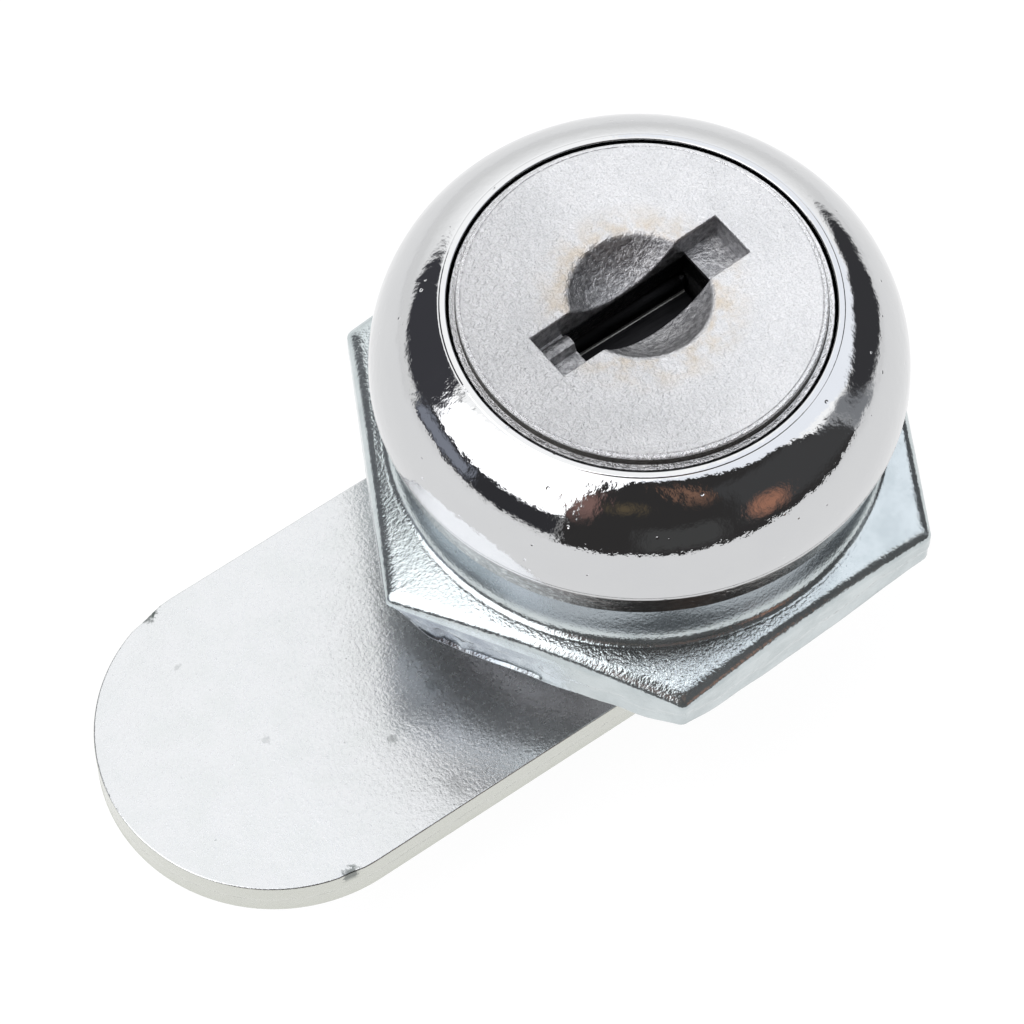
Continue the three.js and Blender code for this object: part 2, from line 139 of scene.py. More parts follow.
CAM_HALF_W = cam_high.y
CAM_TIP_X = cam_high.x
CAM_TOP_Z = cam_high.z
CAM_BASE_Z = cam_low.z
SQUARE_HALF = 3.8
CAM_EDGE = 0.07
CAM_CHIPS = (((20.9, -7.75), 0.7, 0.07), ((20.7, 7.7), 0.6, 0.06))  # (place, reach, depth)
CAM_MARKS = (  # (place, size, strength) of dark marks on its upper face
    ((20.9, -7.75), 0.42, 0.8),
    ((20.4, -7.9), 0.3, 0.7),
    ((20.7, 7.75), 0.4, 0.8),
    ((12.63, 2.36), 0.38, 0.35),
    ((15.54, 3.46), 0.27, 0.4),
    ((20.05, 0.32), 0.24, 0.2),
    ((21.13, -4.87), 0.18, 0.25),
    ((14.65, 6.9), 0.6, 0.2),
)

WASHER_R = 7.0
TAB_R = 9.2
TAB_FROM = math.radians(2.5)
TAB_TO = math.radians(87.5)

SPLIT_IN_R = 2.75
SPLIT_R = 5.2
SPLIT_GAP = 0.7
SPLIT_TURN = math.radians(-35)

SCREW_R = 2.4
SCREW_HEAD_R = 4.6
SCREW_HEAD_TOP_Z = -13.5
SCREW_PITCH = 0.8

PIN_Y = -1.75
PIN_Z = 3.2
KNUCKLE_R = 0.8
KNUCKLE_BORE_R = 0.45
KNUCKLE_IN_X = 1.1
SHUTTER_T = 0.45
HOOD_T = 0.06  # of the leaf's thin hood over the spring


# ---- Outlines ----------------------------------------------------------------------------------


def rounded(corners, closed=False, steps=5, support=0.35):
    """A polyline through corners (x, y, radius), each cut by an arc with a support point beside it."""
    points = []
    count = len(corners)
    for i, (x, y, radius) in enumerate(corners):
        here = Vector((x, y))
        if radius <= 0 or (not closed and i in (0, count - 1)):
            points.append(tuple(here))
            continue
        before = Vector(corners[i - 1][:2]) - here
        after = Vector(corners[(i + 1) % count][:2]) - here
        room = 0.45 * min(before.length, after.length)
        before.normalize()
        after.normalize()
        half_turn = before.angle(after) / 2
        reach = min(radius / math.tan(half_turn), room)
        size = reach * math.tan(half_turn)
        centre = here + (before + after).normalized() * (size / math.sin(half_turn))
        start = here + before * reach - centre
        sweep = math.pi - 2 * half_turn
        side = 1 if before.x * after.y - before.y * after.x < 0 else -1
        points.append(tuple(centre + start + before * size * support))
        for k in range(steps + 1):
            turned = Matrix.Rotation(side * sweep * k / steps, 2) @ start
            points.append(tuple(centre + turned))
        points.append(tuple(here + after * (reach + size * support)))
    return points


def arc(radius, start, end, steps, centre=(0.0, 0.0)):
    """Points of an arc, in order from start to end."""
    angles = np.linspace(start, end, steps + 1)
    return [(centre[0] + radius * math.cos(a), centre[1] + radius * math.sin(a)) for a in angles]


def spread(points, spacing):
    """A closed outline with its long straights divided."""
    result = []
    for i, point in enumerate(points):
        here = np.array(point)
        after = np.array(points[(i + 1) % len(points)])
        pieces = max(1, int(round(np.linalg.norm(after - here) / spacing)))
        result.extend(tuple(here + (after - here) * k / pieces) for k in range(pieces))
    return result


def moved_out(outline, distance):
    """A closed anticlockwise outline moved outwards along its own normals."""
    points = np.array(outline)
    along = np.roll(points, -1, 0) - np.roll(points, 1, 0)
    normals = np.stack([along[:, 1], -along[:, 0]], 1)
    normals /= np.linalg.norm(normals, axis=1)[:, None]
    return points + normals * np.asarray(distance).reshape(-1, 1)


# ---- Meshes ------------------------------------------------------------------------------------


def grid_faces(rows, cols, wrap_rows):
    """Quads of a grid whose columns close on themselves."""
    row, col = np.meshgrid(np.arange(rows if wrap_rows else rows - 1), np.arange(cols), indexing="ij")
    next_row = (row + 1) % rows
    next_col = (col + 1) % cols
    quads = [row * cols + col, row * cols + next_col, next_row * cols + next_col, next_row * cols + col]
    return np.stack(quads, -1).reshape(-1, 4)


def from_points(name, points, faces):
    """An object from points in millimetres."""
    mesh = bpy.data.meshes.new(name)
    mesh.from_pydata((np.asarray(points) * MM).tolist(), [], [list(map(int, f)) for f in faces])
    mesh.validate()
    made = bpy.data.objects.new(name, mesh)
    bpy.context.scene.collection.objects.link(made)
    return made


def ring_solid(name, radii, heights, angles):
    """A ring-shaped solid from (rows, columns) of radius and height, its rows closing on themselves."""
    rows, cols = radii.shape
    points = np.stack([radii * np.cos(angles), radii * np.sin(angles), heights], -1)
    return from_points(name, points.reshape(-1, 3), grid_faces(rows, cols, True))


def fill_flat(bm, loops):
    """Fills a flat face between rings of edges."""
    edges = [e for loop in loops for e in loop]
    bmesh.ops.triangle_fill(bm, use_beauty=True, use_dissolve=False, edges=edges)


def ring_edges(bm, first, cols):
    """The edges of one ring of vertices."""
    found = []
    for i in range(cols):
        a = bm.verts[first + i]
        b = bm.verts[first + (i + 1) % cols]
        found.append(bm.edges.get((a, b)) or bm.edges.new((a, b)))
    return found


def solid_from_walls(name, walls):
    """A solid whose outer wall and holes are grids from bottom ring to top ring, with flat ends."""
    points = []
    faces = []
    starts = []
    for wall in walls:
        rows, cols, _ = wall.shape
        base = sum(len(p) for p in points)
        points.append(wall.reshape(-1, 3))
        faces.append(grid_faces(rows, cols, False) + base)
        starts.append((base, base + (rows - 1) * cols, cols))
    made = from_points(name, np.concatenate(points), np.concatenate(faces))
    bm = bmesh.new()
    bm.from_mesh(made.data)
    bm.verts.ensure_lookup_table()
    fill_flat(bm, [ring_edges(bm, low, cols) for low, _, cols in starts])
    fill_flat(bm, [ring_edges(bm, high, cols) for _, high, cols in starts])
    bmesh.ops.recalc_face_normals(bm, faces=bm.faces)
    bm.to_mesh(made.data)
    bm.free()
    return made


def plate_rows(z_low, z_high, low_edge, high_edge, steps=5):
    """(inset, height) rows up a plate's edge, with rounded lower and upper corners."""
    inner = max(low_edge, high_edge) * 1.6
    corners = [
        (-inner, z_low, 0),
        (0, z_low, low_edge),
        (0, z_high, high_edge),
        (-inner, z_high, 0),
    ]
    return rounded(corners, steps=steps)


def plate_wall(outline, rows, sign=1):
    """One wall of a plate. sign is 1 for the outside and -1 for a hole."""
    rings = []
    for out, z in rows:
        ring = moved_out(outline, np.full(len(outline), sign * out))
        rings.append(np.column_stack([ring, np.full(len(ring), z)]))
    return np.array(rings)


def plate(name, outline, holes, z_low, z_high, low_edge=0.1, high_edge=0.15):
    rows = plate_rows(z_low, z_high, low_edge, high_edge)
    walls = [plate_wall(outline, rows)] + [plate_wall(hole, rows, -1) for hole in holes]
    return solid_from_walls(name, walls)


def square(half, corner):
    corners = [(-half, -half, corner), (half, -half, corner), (half, half, corner), (-half, half, corner)]
    return spread(rounded(corners, closed=True, steps=6), 0.5)


def combined(target, other, operation):
    """Joins or cuts target with other, which is used up."""
    modifier = target.modifiers.new("combine", "BOOLEAN")
    modifier.operation = operation
    modifier.object = other
    modifier.solver = "EXACT"
    bpy.context.view_layer.update()
    evaluated = target.evaluated_get(bpy.context.evaluated_depsgraph_get())
    mesh = bpy.data.meshes.new_from_object(evaluated)
    target.modifiers.clear()
    target.data = mesh
    bpy.data.objects.remove(other)
    return target


def box_between(low, high):
    xs, ys, zs = zip(low, high)
    points = [(x, y, z) for z in zs for y in ys for x in xs]
    faces = [(0, 2, 3, 1), (4, 5, 7, 6), (0, 1, 5, 4), (2, 6, 7, 3), (0, 4, 6, 2), (1, 3, 7, 5)]
    return from_points("cutter", points, faces)


def smooth(made, angle=38):
    """Smooth shading, with edges sharper than the angle kept crisp."""
    made.data.shade_smooth()
    made.data.set_sharp_from_angle(angle=math.radians(angle))
    return made


def thread_wave(height, angle, pitch):
    """0 at the root and 1 at the crest of a right-hand thread with flattened root and crest."""
    phase = (height / pitch - angle / (2 * math.pi)) % 1.0
    wave = np.abs(2 * phase - 1)
    return np.clip((wave - 0.12) / 0.72, 0, 1)


def fade(value, start, end):
    t = np.clip((value - start) / (end - start), 0, 1)
    return t * t * (3 - 2 * t)


def bumpy(x, y, z, size, seed=0.0):
    """Smooth noise from -1 to 1 at a point in millimetres."""
    return noise.noise(Vector((x, y, z)) / size + Vector((seed, 3.7 * seed, 1.3 * seed)))


# ---- Head and barrel ---------------------------------------------------------------------------


def dome_points():
    centre_r = HEAD_R - DOME_IN
    centre_z = HEAD_H - DOME_H
    land_angle = math.acos((LAND_R + 0.04 - centre_r) / DOME_IN)
    steps = 44
    dome = [
        (
            centre_r + DOME_IN * math.cos(land_angle * k / steps),
            centre_z + DOME_H * math.sin(land_angle * k / steps),
        )
        for k in range(1, steps + 1)
    ]
    crease = [(LAND_R + 0.01, LAND_Z - 0.05), (LAND_R - 0.015, LAND_Z - 0.05)]
    land = [(LAND_R - 0.04, LAND_Z - 0.026), (LAND_R - 0.08, LAND_Z - 0.02), (LIP_R + 0.14, LAND_Z - 0.004)]
    return dome + crease + land


def head_and_barrel():
    cols = 320
    angles = np.linspace(0, 2 * math.pi, cols, endpoint=False)
    thread_z = np.arange(BARREL_END_Z + 0.45, THREAD_TOP_Z + 0.3, THREAD_PITCH / 12)
    barrel = [(BORE_R, BARREL_END_Z + 0.15), (BORE_R + 0.15, BARREL_END_Z)]
    barrel += [(BARREL_R - 0.55, BARREL_END_Z), (BARREL_R - 0.4, BARREL_END_Z)]
    barrel += [(BARREL_R - 0.02, BARREL_END_Z + 0.38)]
    barrel += [(BARREL_R, z) for z in thread_z]
    barrel += [(BARREL_R, SEAT_RELIEF)]
    seat = rounded(
        [
            (BARREL_R, SEAT_RELIEF, 0),
            (SEAT_IN_R, SEAT_RELIEF, 0.04),
            (SEAT_IN_R, 0, 0.04),
            (SEAT_R, 0, 0.12),
            (HEAD_R, SKIRT_TURN_Z, 0.35),
            (HEAD_R, HEAD_H - DOME_H + 0.06, 0),
        ],
        steps=6,
    )[1:]
    recess = rounded(
        [
            (*dome_points()[-1], 0),
            (LIP_R, LAND_Z, LIP_EDGE),
            (LIP_R, RECESS_Z, 0.2),
            (BORE_R, RECESS_Z, 0.1),
            (BORE_R, BARREL_END_Z + 0.15, 0),
        ],
        steps=6,
    )[1:-1]
    profile = barrel + seat + dome_points() + recess
    r = np.repeat(np.array([p[0] for p in profile])[:, None], cols, 1)
    z = np.repeat(np.array([p[1] for p in profile])[:, None], cols, 1)
    on_barrel = np.zeros(len(profile), bool)
    on_barrel[2 : len(barrel)] = True
    threaded = np.zeros(len(profile), bool)
    threaded[4 : len(barrel) - 1] = True
    depth = THREAD_DEPTH * fade(z, THREAD_TOP_Z + 0.3, THREAD_TOP_Z - 0.5)
    cut = depth * (1 - thread_wave(z, angles[None, :], THREAD_PITCH))
    r = np.where(threaded[:, None], np.minimum(r, r - cut), r)
    flat = FLAT_Y / np.maximum(np.abs(np.sin(angles)), 1e-6)
    r = np.where(on_barrel[:, None], np.minimum(r, flat[None, :]), r)
    made = ring_solid("head_and_barrel", r, z, angles[None, :])
    lug_outline = arc(LUG_R_OUT, -math.pi, 0, 60) + arc(LUG_R_IN, 0, -math.pi, 50)
    lug_outline = [(x, max(y, -FLAT_Y)) for x, y in lug_outline]
    lug = plate("lug", lug_outline, [], LUG_END_Z, BARREL_END_Z + 0.3, 0.08, 0.01)
    made = combined(made, lug, "UNION")
    base = LUG_END_Z - 1
    for half_x, half_y in ((GROOVE_REACH, GROOVE_HALF), (GROOVE_HALF, GROOVE_REACH)):
        groove = box_between((-half_x, -half_y, base), (half_x, half_y, GROOVE_TOP_Z))
        made = combined(made, groove, "DIFFERENCE")
    return smooth(made)


# ---- Face cap ----------------------------------------------------------------------------------


def lines(half, knots, near, spacing):
    """Grid lines from -half to half, close together beside each knot."""
    close = sorted({round(k + s * d, 4) for k in knots for d in near for s in (-1, 1)})
    far = np.arange(-half, half + 1e-6, spacing)
    gap = 0.3 * spacing
    kept = [v for v in far if min(abs(v - c) for c in close) > gap]
    return np.array(sorted(set(kept + [c for c in close if -half <= c <= half] + [-half, half])))


def face_height(x, y):
    """Height of the cap's front at (x, y): the flat face, the dish, the slot's pockets and rib."""
    sphere = (DISH_R**2 + DISH_DEPTH**2) / (2 * DISH_DEPTH)
    across = np.minimum(x * x + y * y, (sphere * 0.98) ** 2)
    dish = FACE_Z - DISH_DEPTH + sphere - np.sqrt(sphere**2 - across)
    blend = 0.05
    mix = np.clip(0.5 + 0.5 * (dish - FACE_Z) / blend, 0, 1)
    top = dish * (1 - mix) + FACE_Z * mix - blend * mix * (1 - mix)
    outside = np.maximum(np.abs(x) - SLOT_HALF_X, np.abs(y) - SLOT_HALF_Y)
    edge = 0.07
    inner = np.clip(edge - outside, 0, edge)
    rim = top - (edge - np.sqrt(edge**2 - inner**2))
    rib = POCKET_Z + np.sqrt(np.clip(RIB_R**2 - (y - RIB_Y) ** 2, 0, None)) - 0.02
    floor = np.where(x > 0, np.maximum(rib, POCKET_Z), POCKET_Z)
    floor = np.where(x > 0, np.where(y > RIB_Y + 0.3, np.minimum(floor, POCKET_Z), floor), floor)
    hole = np.abs(x) - KEYWAY_HALF_X
    wall = np.clip(-outside / 0.02, 0, 1)
    drop = np.clip(-hole / 0.02, 0, 1) * wall
    height = rim * (1 - wall) + floor * wall
    return height * (1 - drop) + CAP_BASE_Z * drop


def cap_front():
    near = (0, 0.02, 0.035, 0.055, 0.075, 0.13)
    half_x, half_y = 5.9, 4.3
    xs = lines(half_x, (-SLOT_HALF_X, -KEYWAY_HALF_X, KEYWAY_HALF_X, SLOT_HALF_X), near, 0.14)
    ys = lines(half_y, (-SLOT_HALF_Y, SLOT_HALF_Y, RIB_Y - RIB_R, RIB_Y + RIB_R), near, 0.14)
    return xs, ys


def face_cap():
    xs, ys = cap_front()
    gx, gy = np.meshgrid(xs, ys, indexing="ij")
    gz = face_height(gx, gy)
    bm = bmesh.new()
    turn_cos, turn_sin = math.cos(SLOT_TURN), math.sin(SLOT_TURN)
    px = gx * turn_cos - gy * turn_sin + SLOT_SHIFT[0]
    py = gx * turn_sin + gy * turn_cos + SLOT_SHIFT[1]
    grid = [[bm.verts.new((px[i, j], py[i, j], gz[i, j])) for j in range(len(ys))] for i in range(len(xs))]
    inset = 0.015
    for i in range(len(xs) - 1):
        for j in range(len(ys) - 1):
            in_x = max(abs(xs[i]), abs(xs[i + 1])) < KEYWAY_HALF_X - inset
            in_y = max(abs(ys[j]), abs(ys[j + 1])) < SLOT_HALF_Y - inset
            if in_x and in_y:
                continue
            bm.faces.new((grid[i][j], grid[i + 1][j], grid[i + 1][j + 1], grid[i][j + 1]))
    last_x, last_y = len(xs) - 1, len(ys) - 1
    border = [grid[i][0] for i in range(last_x)] + [grid[last_x][j] for j in range(last_y)]
    border += [grid[i][last_y] for i in range(last_x, 0, -1)] + [grid[0][j] for j in range(last_y, 0, -1)]
    angles = np.array([math.atan2(v.co.y, v.co.x) for v in border])
    flat_r = FACE_R - BEVEL - 0.09
    rows = []
    for share in (0.33, 0.66, 1.0):
        rows.append([v.co.lerp(Vector((flat_r * math.cos(a), flat_r * math.sin(a), FACE_Z)), share)
                     for v, a in zip(border, angles)])
    side = rounded(
        [
            (flat_r, FACE_Z, 0),
            (FACE_R - BEVEL - 0.055, FACE_Z - 0.03, 0.02),
            (FACE_R - BEVEL - 0.02, FACE_Z - 0.005, 0.02),
            (FACE_R, FACE_Z - 0.02, 0.13),
            (FACE_R + 0.02, LEDGE_Z, 0.05),
            (LEDGE_R, LEDGE_Z + 0.02, 0.05),
            (LEDGE_R, CAP_BASE_Z, 0.1),
            (LEDGE_R - 0.4, CAP_BASE_Z, 0),
        ],
        steps=5,
    )[1:]
    for r, z in side:
        rows.append([Vector((r * math.cos(a), r * math.sin(a), z)) for a in angles])
    ring = border
    count = len(border)
    for row in rows:
        following = [bm.verts.new(p) for p in row]
        for k in range(count):
            m = (k + 1) % count
            bm.faces.new((ring[m], ring[k], following[k], following[m]))
        ring = following
    loose = [v for v in bm.verts if not v.link_faces]
    bmesh.ops.delete(bm, geom=loose, context="VERTS")
    boundary = [e for e in bm.edges if e.is_boundary]
    fill_flat(bm, [boundary])
    bmesh.ops.recalc_face_normals(bm, faces=bm.faces)
    mesh = bpy.data.meshes.new("face_plate")
    bm.to_mesh(mesh)
    bm.free()
    mesh.transform(Matrix.Scale(MM, 4))
    made = bpy.data.objects.new("face_plate", mesh)
    bpy.context.scene.collection.objects.link(made)
    for side_y in (-PEG_Y, PEG_Y):
        outline = [(x, y + side_y) for x, y in arc(PEG_R, 0, 2 * math.pi, 32)[:-1]]
        peg = plate("peg", outline, [], cap_low.z, CAP_BASE_Z + 0.1, 0.12, 0.01)
        made = combined(made, peg, "UNION")
    return smooth(made)


# ---- Hex nut -----------------------------------------------------------------------------------


def nut_outline():
    """Angles and radii of the nut's hexagon with rounded corners."""
    corner_r = NUT_CORNER_R + NUT_CORNER_ROUND * (1 / math.sin(math.pi / 3) - 1)
    corners = [
        (corner_r * math.cos(NUT_TURN + k * math.pi / 3), corner_r * math.sin(NUT_TURN + k * math.pi / 3),
         NUT_CORNER_ROUND)
        for k in range(6)
    ]
    points = np.array(spread(rounded(corners, closed=True, steps=6, support=0.2), 0.32))
    angles = np.arctan2(points[:, 1], points[:, 0])
    order = np.argsort(angles)
    return angles[order], np.hypot(points[:, 0], points[:, 1])[order]


def hex_nut():
    angles, hexagon = nut_outline()
    flat_r = NUT_CORNER_R * math.cos(math.pi / 6)
    ones = np.ones_like(angles)
    r_rows, z_rows = [], []

    def row(r, z):
        r_rows.append(r * ones)
        z_rows.append(z * ones)

    # up the outside from the bore's lower edge
    row(NUT_BORE_R + 0.45, NUT_BASE_Z)
    row(flat_r - 0.5, NUT_BASE_Z)
    row(flat_r - 0.3, NUT_BASE_Z)
    chamfer = np.clip(hexagon - flat_r, 0, None) * NUT_CORNER_SLOPE
    corner = np.clip((hexagon - flat_r) / (NUT_CORNER_R - flat_r), 0, 1)
    rim_r = 13.0
    wave = np.array([bumpy(rim_r * math.cos(a), rim_r * math.sin(a), 0, 1.5, 2.0) for a in angles])
    fine = np.array([bumpy(rim_r * math.cos(a), rim_r * math.sin(a), 5, 0.3, 4.0) for a in angles])
    ragged = 0.5 + 0.25 * wave + 0.12 * fine
    low = NUT_BASE_Z + chamfer + NUT_ROLL - 0.05 + 0.3 * wave * (0.3 + 0.7 * corner)
    # towards its torn corner the side is cut away steeply, and past it the metal is ragged
    along = (angles - TORN_CORNER) * rim_r
    cut_away = 1.5 * fade(np.abs(along), 2.0, 0.1)
    burr = fade(along, 0.5, 2.0) * fade(along, 9.0, 6.0)
    low = low + cut_away
    inner_r = flat_r - 0.3
    for t in (0.2, 0.4, 0.6, 0.8):
        r = inner_r + (hexagon - NUT_ROLL - inner_r) * t
        row(r, NUT_BASE_Z + (low - NUT_ROLL - NUT_BASE_Z) * t**1.6)
    for k in range(6):
        a = math.radians(90 * k / 5)
        row(hexagon - NUT_ROLL + NUT_ROLL * math.sin(a) - 0.05, low - NUT_ROLL * math.cos(a))
    edge_in = NUT_EDGE + (NUT_EDGE_CORNER - NUT_EDGE) * corner
    crown = np.arctan(NUT_EDGE_DOWN / (NUT_TOP_SLOPE * edge_in))
    start = hexagon - edge_in * (1 - np.cos(crown))
    top_edge = NUT_TOP_Z - NUT_TOP_SLOPE * (start - HUB_FOOT_R) - NUT_EDGE_DOWN * np.sin(crown)
    for t in np.linspace(0.04, 0.96, 22):
        torn = (0.05 + 0.12 * burr) * fade(t, ragged + 0.05, ragged - 0.05) * (1 + 0.6 * fine + 0.4 * wave)
        row(hexagon - torn, low + (top_edge - low) * t)
    for k in range(15):
        a = crown * k / 14
        row(hexagon - edge_in * (1 - np.cos(a)), top_edge + NUT_EDGE_DOWN * np.sin(a))
    for t in (0.04, 0.2, 0.4, 0.6, 0.8, 0.96):
        r = start + (HUB_FOOT_R - start) * t
        row(r, NUT_TOP_Z - NUT_TOP_SLOPE * (r - HUB_FOOT_R))
    cove_top_r = HUB_R + HUB_DRAFT
    p0 = Vector((HUB_FOOT_R, NUT_TOP_Z))
    p1 = Vector((cove_top_r + HUB_DRAFT, NUT_TOP_Z))
    p2 = Vector((cove_top_r, NUT_TOP_Z + COVE_H))
    for k in range(13):
        t = k / 12
        p = p0 * (1 - t) ** 2 + p1 * 2 * t * (1 - t) + p2 * t * t
        row(p.x, p.y)
    for r, z in rounded(
        [
            (cove_top_r, NUT_TOP_Z + COVE_H, 0),
            (HUB_R, HUB_TOP_Z, 0.14),
            (NUT_BORE_R + 0.2, HUB_TOP_Z, 0.05),
            (NUT_BORE_R + 0.02, HUB_TOP_Z - 0.25, 0),
        ],
        steps=6,
    )[1:]:
        row(r, z)
    first = HUB_TOP_Z - 0.3
    last = NUT_BASE_Z + 0.35
    for z in np.arange(first, last, -THREAD_PITCH / 10):
        ends = fade(z, first, first - 0.4) * fade(z, last, last + 0.4)
        wave_here = 1 - thread_wave(z, angles, THREAD_PITCH)
        row(NUT_BORE_R + NUT_THREAD_DEPTH * (1 - ends * (1 - wave_here)), z)
    made = ring_solid("stamped_nut", np.array(r_rows), np.array(z_rows), angles[None, :])
    return smooth(made)


# ---- Cam, washers and screw --------------------------------------------------------------------


def cam_outline():
    tip = arc(CAM_HALF_W, -math.pi / 2, math.pi / 2, 120, (CAM_TIP_X - CAM_HALF_W, 0))
    heel = arc(CAM_HALF_W, math.pi / 2, 1.5 * math.pi, 120)
    return spread(tip + heel, 0.25)


def cam_plate():
    outline = cam_outline()
    points = np.array(outline)
    fine = np.array([bumpy(x, y, 0, 0.35, 1.0) for x, y in outline])
    coarse = np.array([bumpy(x, y, 0, 1.6, 5.0) for x, y in outline])
    chips = np.zeros(len(outline))
    for spot, reach, depth in CAM_CHIPS:
        away = np.linalg.norm(points - np.array(spot), axis=1)
        chips = np.maximum(chips, depth * np.clip(1 - away / reach, 0, 1) ** 0.5)
    rows = rounded(
        [(-0.5, CAM_BASE_Z, 0), (0, CAM_BASE_Z, 0.12), (0, CAM_TOP_Z, CAM_EDGE), (-0.5, CAM_TOP_Z, 0)],
        steps=5,
    )
    shares = (0.15, 0.3, 0.4, 0.46, 0.5, 0.54, 0.7, 0.85)
    wall = [(0, CAM_BASE_Z + (CAM_TOP_Z - CAM_BASE_Z) * share) for share in shares]
    middle = len(rows) // 2
    rows = rows[:middle] + wall + rows[middle:]
    rings = []
    for out, z in rows:
        share = (z - CAM_BASE_Z) / (CAM_TOP_Z - CAM_BASE_Z)
        torn = 0.04 * fade(share, 0.52, 0.46) * fade(share, 0.02, 0.12)
        chipped = chips * fade(share, 0.55, 0.9) * (1 + 0.5 * fine)
        shift = out - torn * (1 + 0.8 * fine + 0.6 * coarse) - chipped * (1 if out > -0.3 else 0.3)
        ring = moved_out(outline, shift)
        lowered = z - 0.5 * chipped * fade(share, 0.9, 1.0) * (1 if out > -0.3 else 0)
        rings.append(np.column_stack([ring, lowered * np.ones(len(ring))]))
    hole_rows = plate_rows(CAM_BASE_Z, CAM_TOP_Z, 0.08, 0.12)
    hole = plate_wall(square(SQUARE_HALF, 0.35), hole_rows, -1)
    return smooth(solid_from_walls("cam_plate", [np.array(rings), hole]))


def tab_washer():
    tab = arc(TAB_R, TAB_FROM, TAB_TO, 40)
    disc = arc(WASHER_R, TAB_TO, 2 * math.pi + TAB_FROM, 80)
    corners = [(*tab[0], 0.25)] + [(*p, 0) for p in tab[1:-1]] + [(*tab[-1], 0.25)]
    corners += [(*disc[0], 0.0)] + [(*p, 0) for p in disc[1:]]
    outline = spread(rounded(corners, closed=True, steps=4), 0.4)
    made = plate("tab_washer", outline, [square(SQUARE_HALF, 0.3)], washer_low.z, washer_high.z, 0.08, 0.12)
    return smooth(made)


def split_washer():
    """A spring washer: a flattened helix of square bar with a cut."""
    half_gap = SPLIT_GAP / 2 / ((SPLIT_IN_R + SPLIT_R) / 2)
    start = math.pi / 2 + SPLIT_TURN + half_gap
    steps = 150
    turns = np.linspace(start, start + 2 * math.pi - 2 * half_gap, steps + 1)
    z_mid = (spring_low.z + spring_high.z) / 2
    half_h = (spring_high.z - spring_low.z) / 2 - 0.05
    section = rounded(
        [
            (SPLIT_IN_R, -half_h, 0.15),
            (SPLIT_R, -half_h, 0.2),
            (SPLIT_R, half_h, 0.2),
            (SPLIT_IN_R, half_h, 0.15),
        ],
        closed=True,
        steps=4,
    )
    points = []
    for a in turns:
        lift = 0.1 * (a - turns[0]) / (turns[-1] - turns[0]) - 0.05
        points += [(r * math.cos(a), r * math.sin(a), z_mid + lift + h) for r, h in section]
    cols = len(section)
    faces = [list(f) for f in grid_faces(steps + 1, cols, False)]
    faces.append(list(range(cols)))
    faces.append(list(range(steps * cols, (steps + 1) * cols))[::-1])
    made = from_points("split_washer", points, faces)
    bm = bmesh.new()
    bm.from_mesh(made.data)
    bmesh.ops.recalc_face_normals(bm, faces=bm.faces)
    bm.to_mesh(made.data)
    bm.free()
    return smooth(made)


def pan_screw():
    base = screw_low.z
    height = SCREW_HEAD_TOP_Z - base
    head = rounded(
        [
            (0.01, base, 0),
            (SCREW_HEAD_R * 0.82, base + 0.12, 1.4),
            (SCREW_HEAD_R, base + 0.55 * height, 0.9),
            (SCREW_HEAD_R, SCREW_HEAD_TOP_Z, 0.15),
            (SCREW_R + 0.1, SCREW_HEAD_TOP_Z, 0.15),
            (SCREW_R, SCREW_HEAD_TOP_Z + 0.5, 0.2),
        ],
        steps=8,
    )
    cols = 120
    angles = np.linspace(0, 2 * math.pi, cols, endpoint=False)
    tip = screw_high.z
    r_rows = [np.full(cols, r) for r, _ in head[:-1]]
    z_rows = [np.full(cols, z) for _, z in head[:-1]]
    for z in np.arange(SCREW_HEAD_TOP_Z + 0.6, tip - 0.35, SCREW_PITCH / 10):
        cut = 0.4 * fade(z, SCREW_HEAD_TOP_Z + 0.8, SCREW_HEAD_TOP_Z + 1.4)
        r_rows.append(SCREW_R - cut * (1 - thread_wave(z, angles, SCREW_PITCH)))
        z_rows.append(np.full(cols, z))
    r_rows += [np.full(cols, SCREW_R - 0.45), np.full(cols, 0.01)]
    z_rows += [np.full(cols, tip), np.full(cols, tip)]
    made = ring_solid("pan_screw", np.array(r_rows), np.array(z_rows), angles[None, :])
    for turn in (0, math.pi / 2):
        cutter = recess_wing(turn, base)
        made = combined(made, cutter, "DIFFERENCE")
    return smooth(made)


def recess_wing(turn, base):
    """One bar of the cross recess, narrower towards its bottom."""
    low, high = base - 0.5, base + 1.5
    points = []
    for z, length, width in ((low, 2.5, 0.62), (high, 1.3, 0.4)):
        points += [(-length, -width, z), (length, -width, z), (length, width, z), (-length, width, z)]
    faces = [(3, 2, 1, 0), (4, 5, 6, 7), (0, 1, 5, 4), (1, 2, 6, 5), (2, 3, 7, 6), (3, 0, 4, 7)]
    made = from_points("wing", points, faces)
    made.data.transform(Matrix.Rotation(turn, 4, "Z"))
    return made


# ---- Shutter -----------------------------------------------------------------------------------


def extruded_x(name, outline, holes, x_low, x_high, edge):
    """A solid along X from an outline in (y, z)."""
    made = plate(name, outline, holes, x_low, x_high, edge, edge)
    turn = Matrix(((0, 0, 1, 0), (1, 0, 0, 0), (0, 1, 0, 0), (0, 0, 0, 1)))
    made.data.transform(turn)
    return made


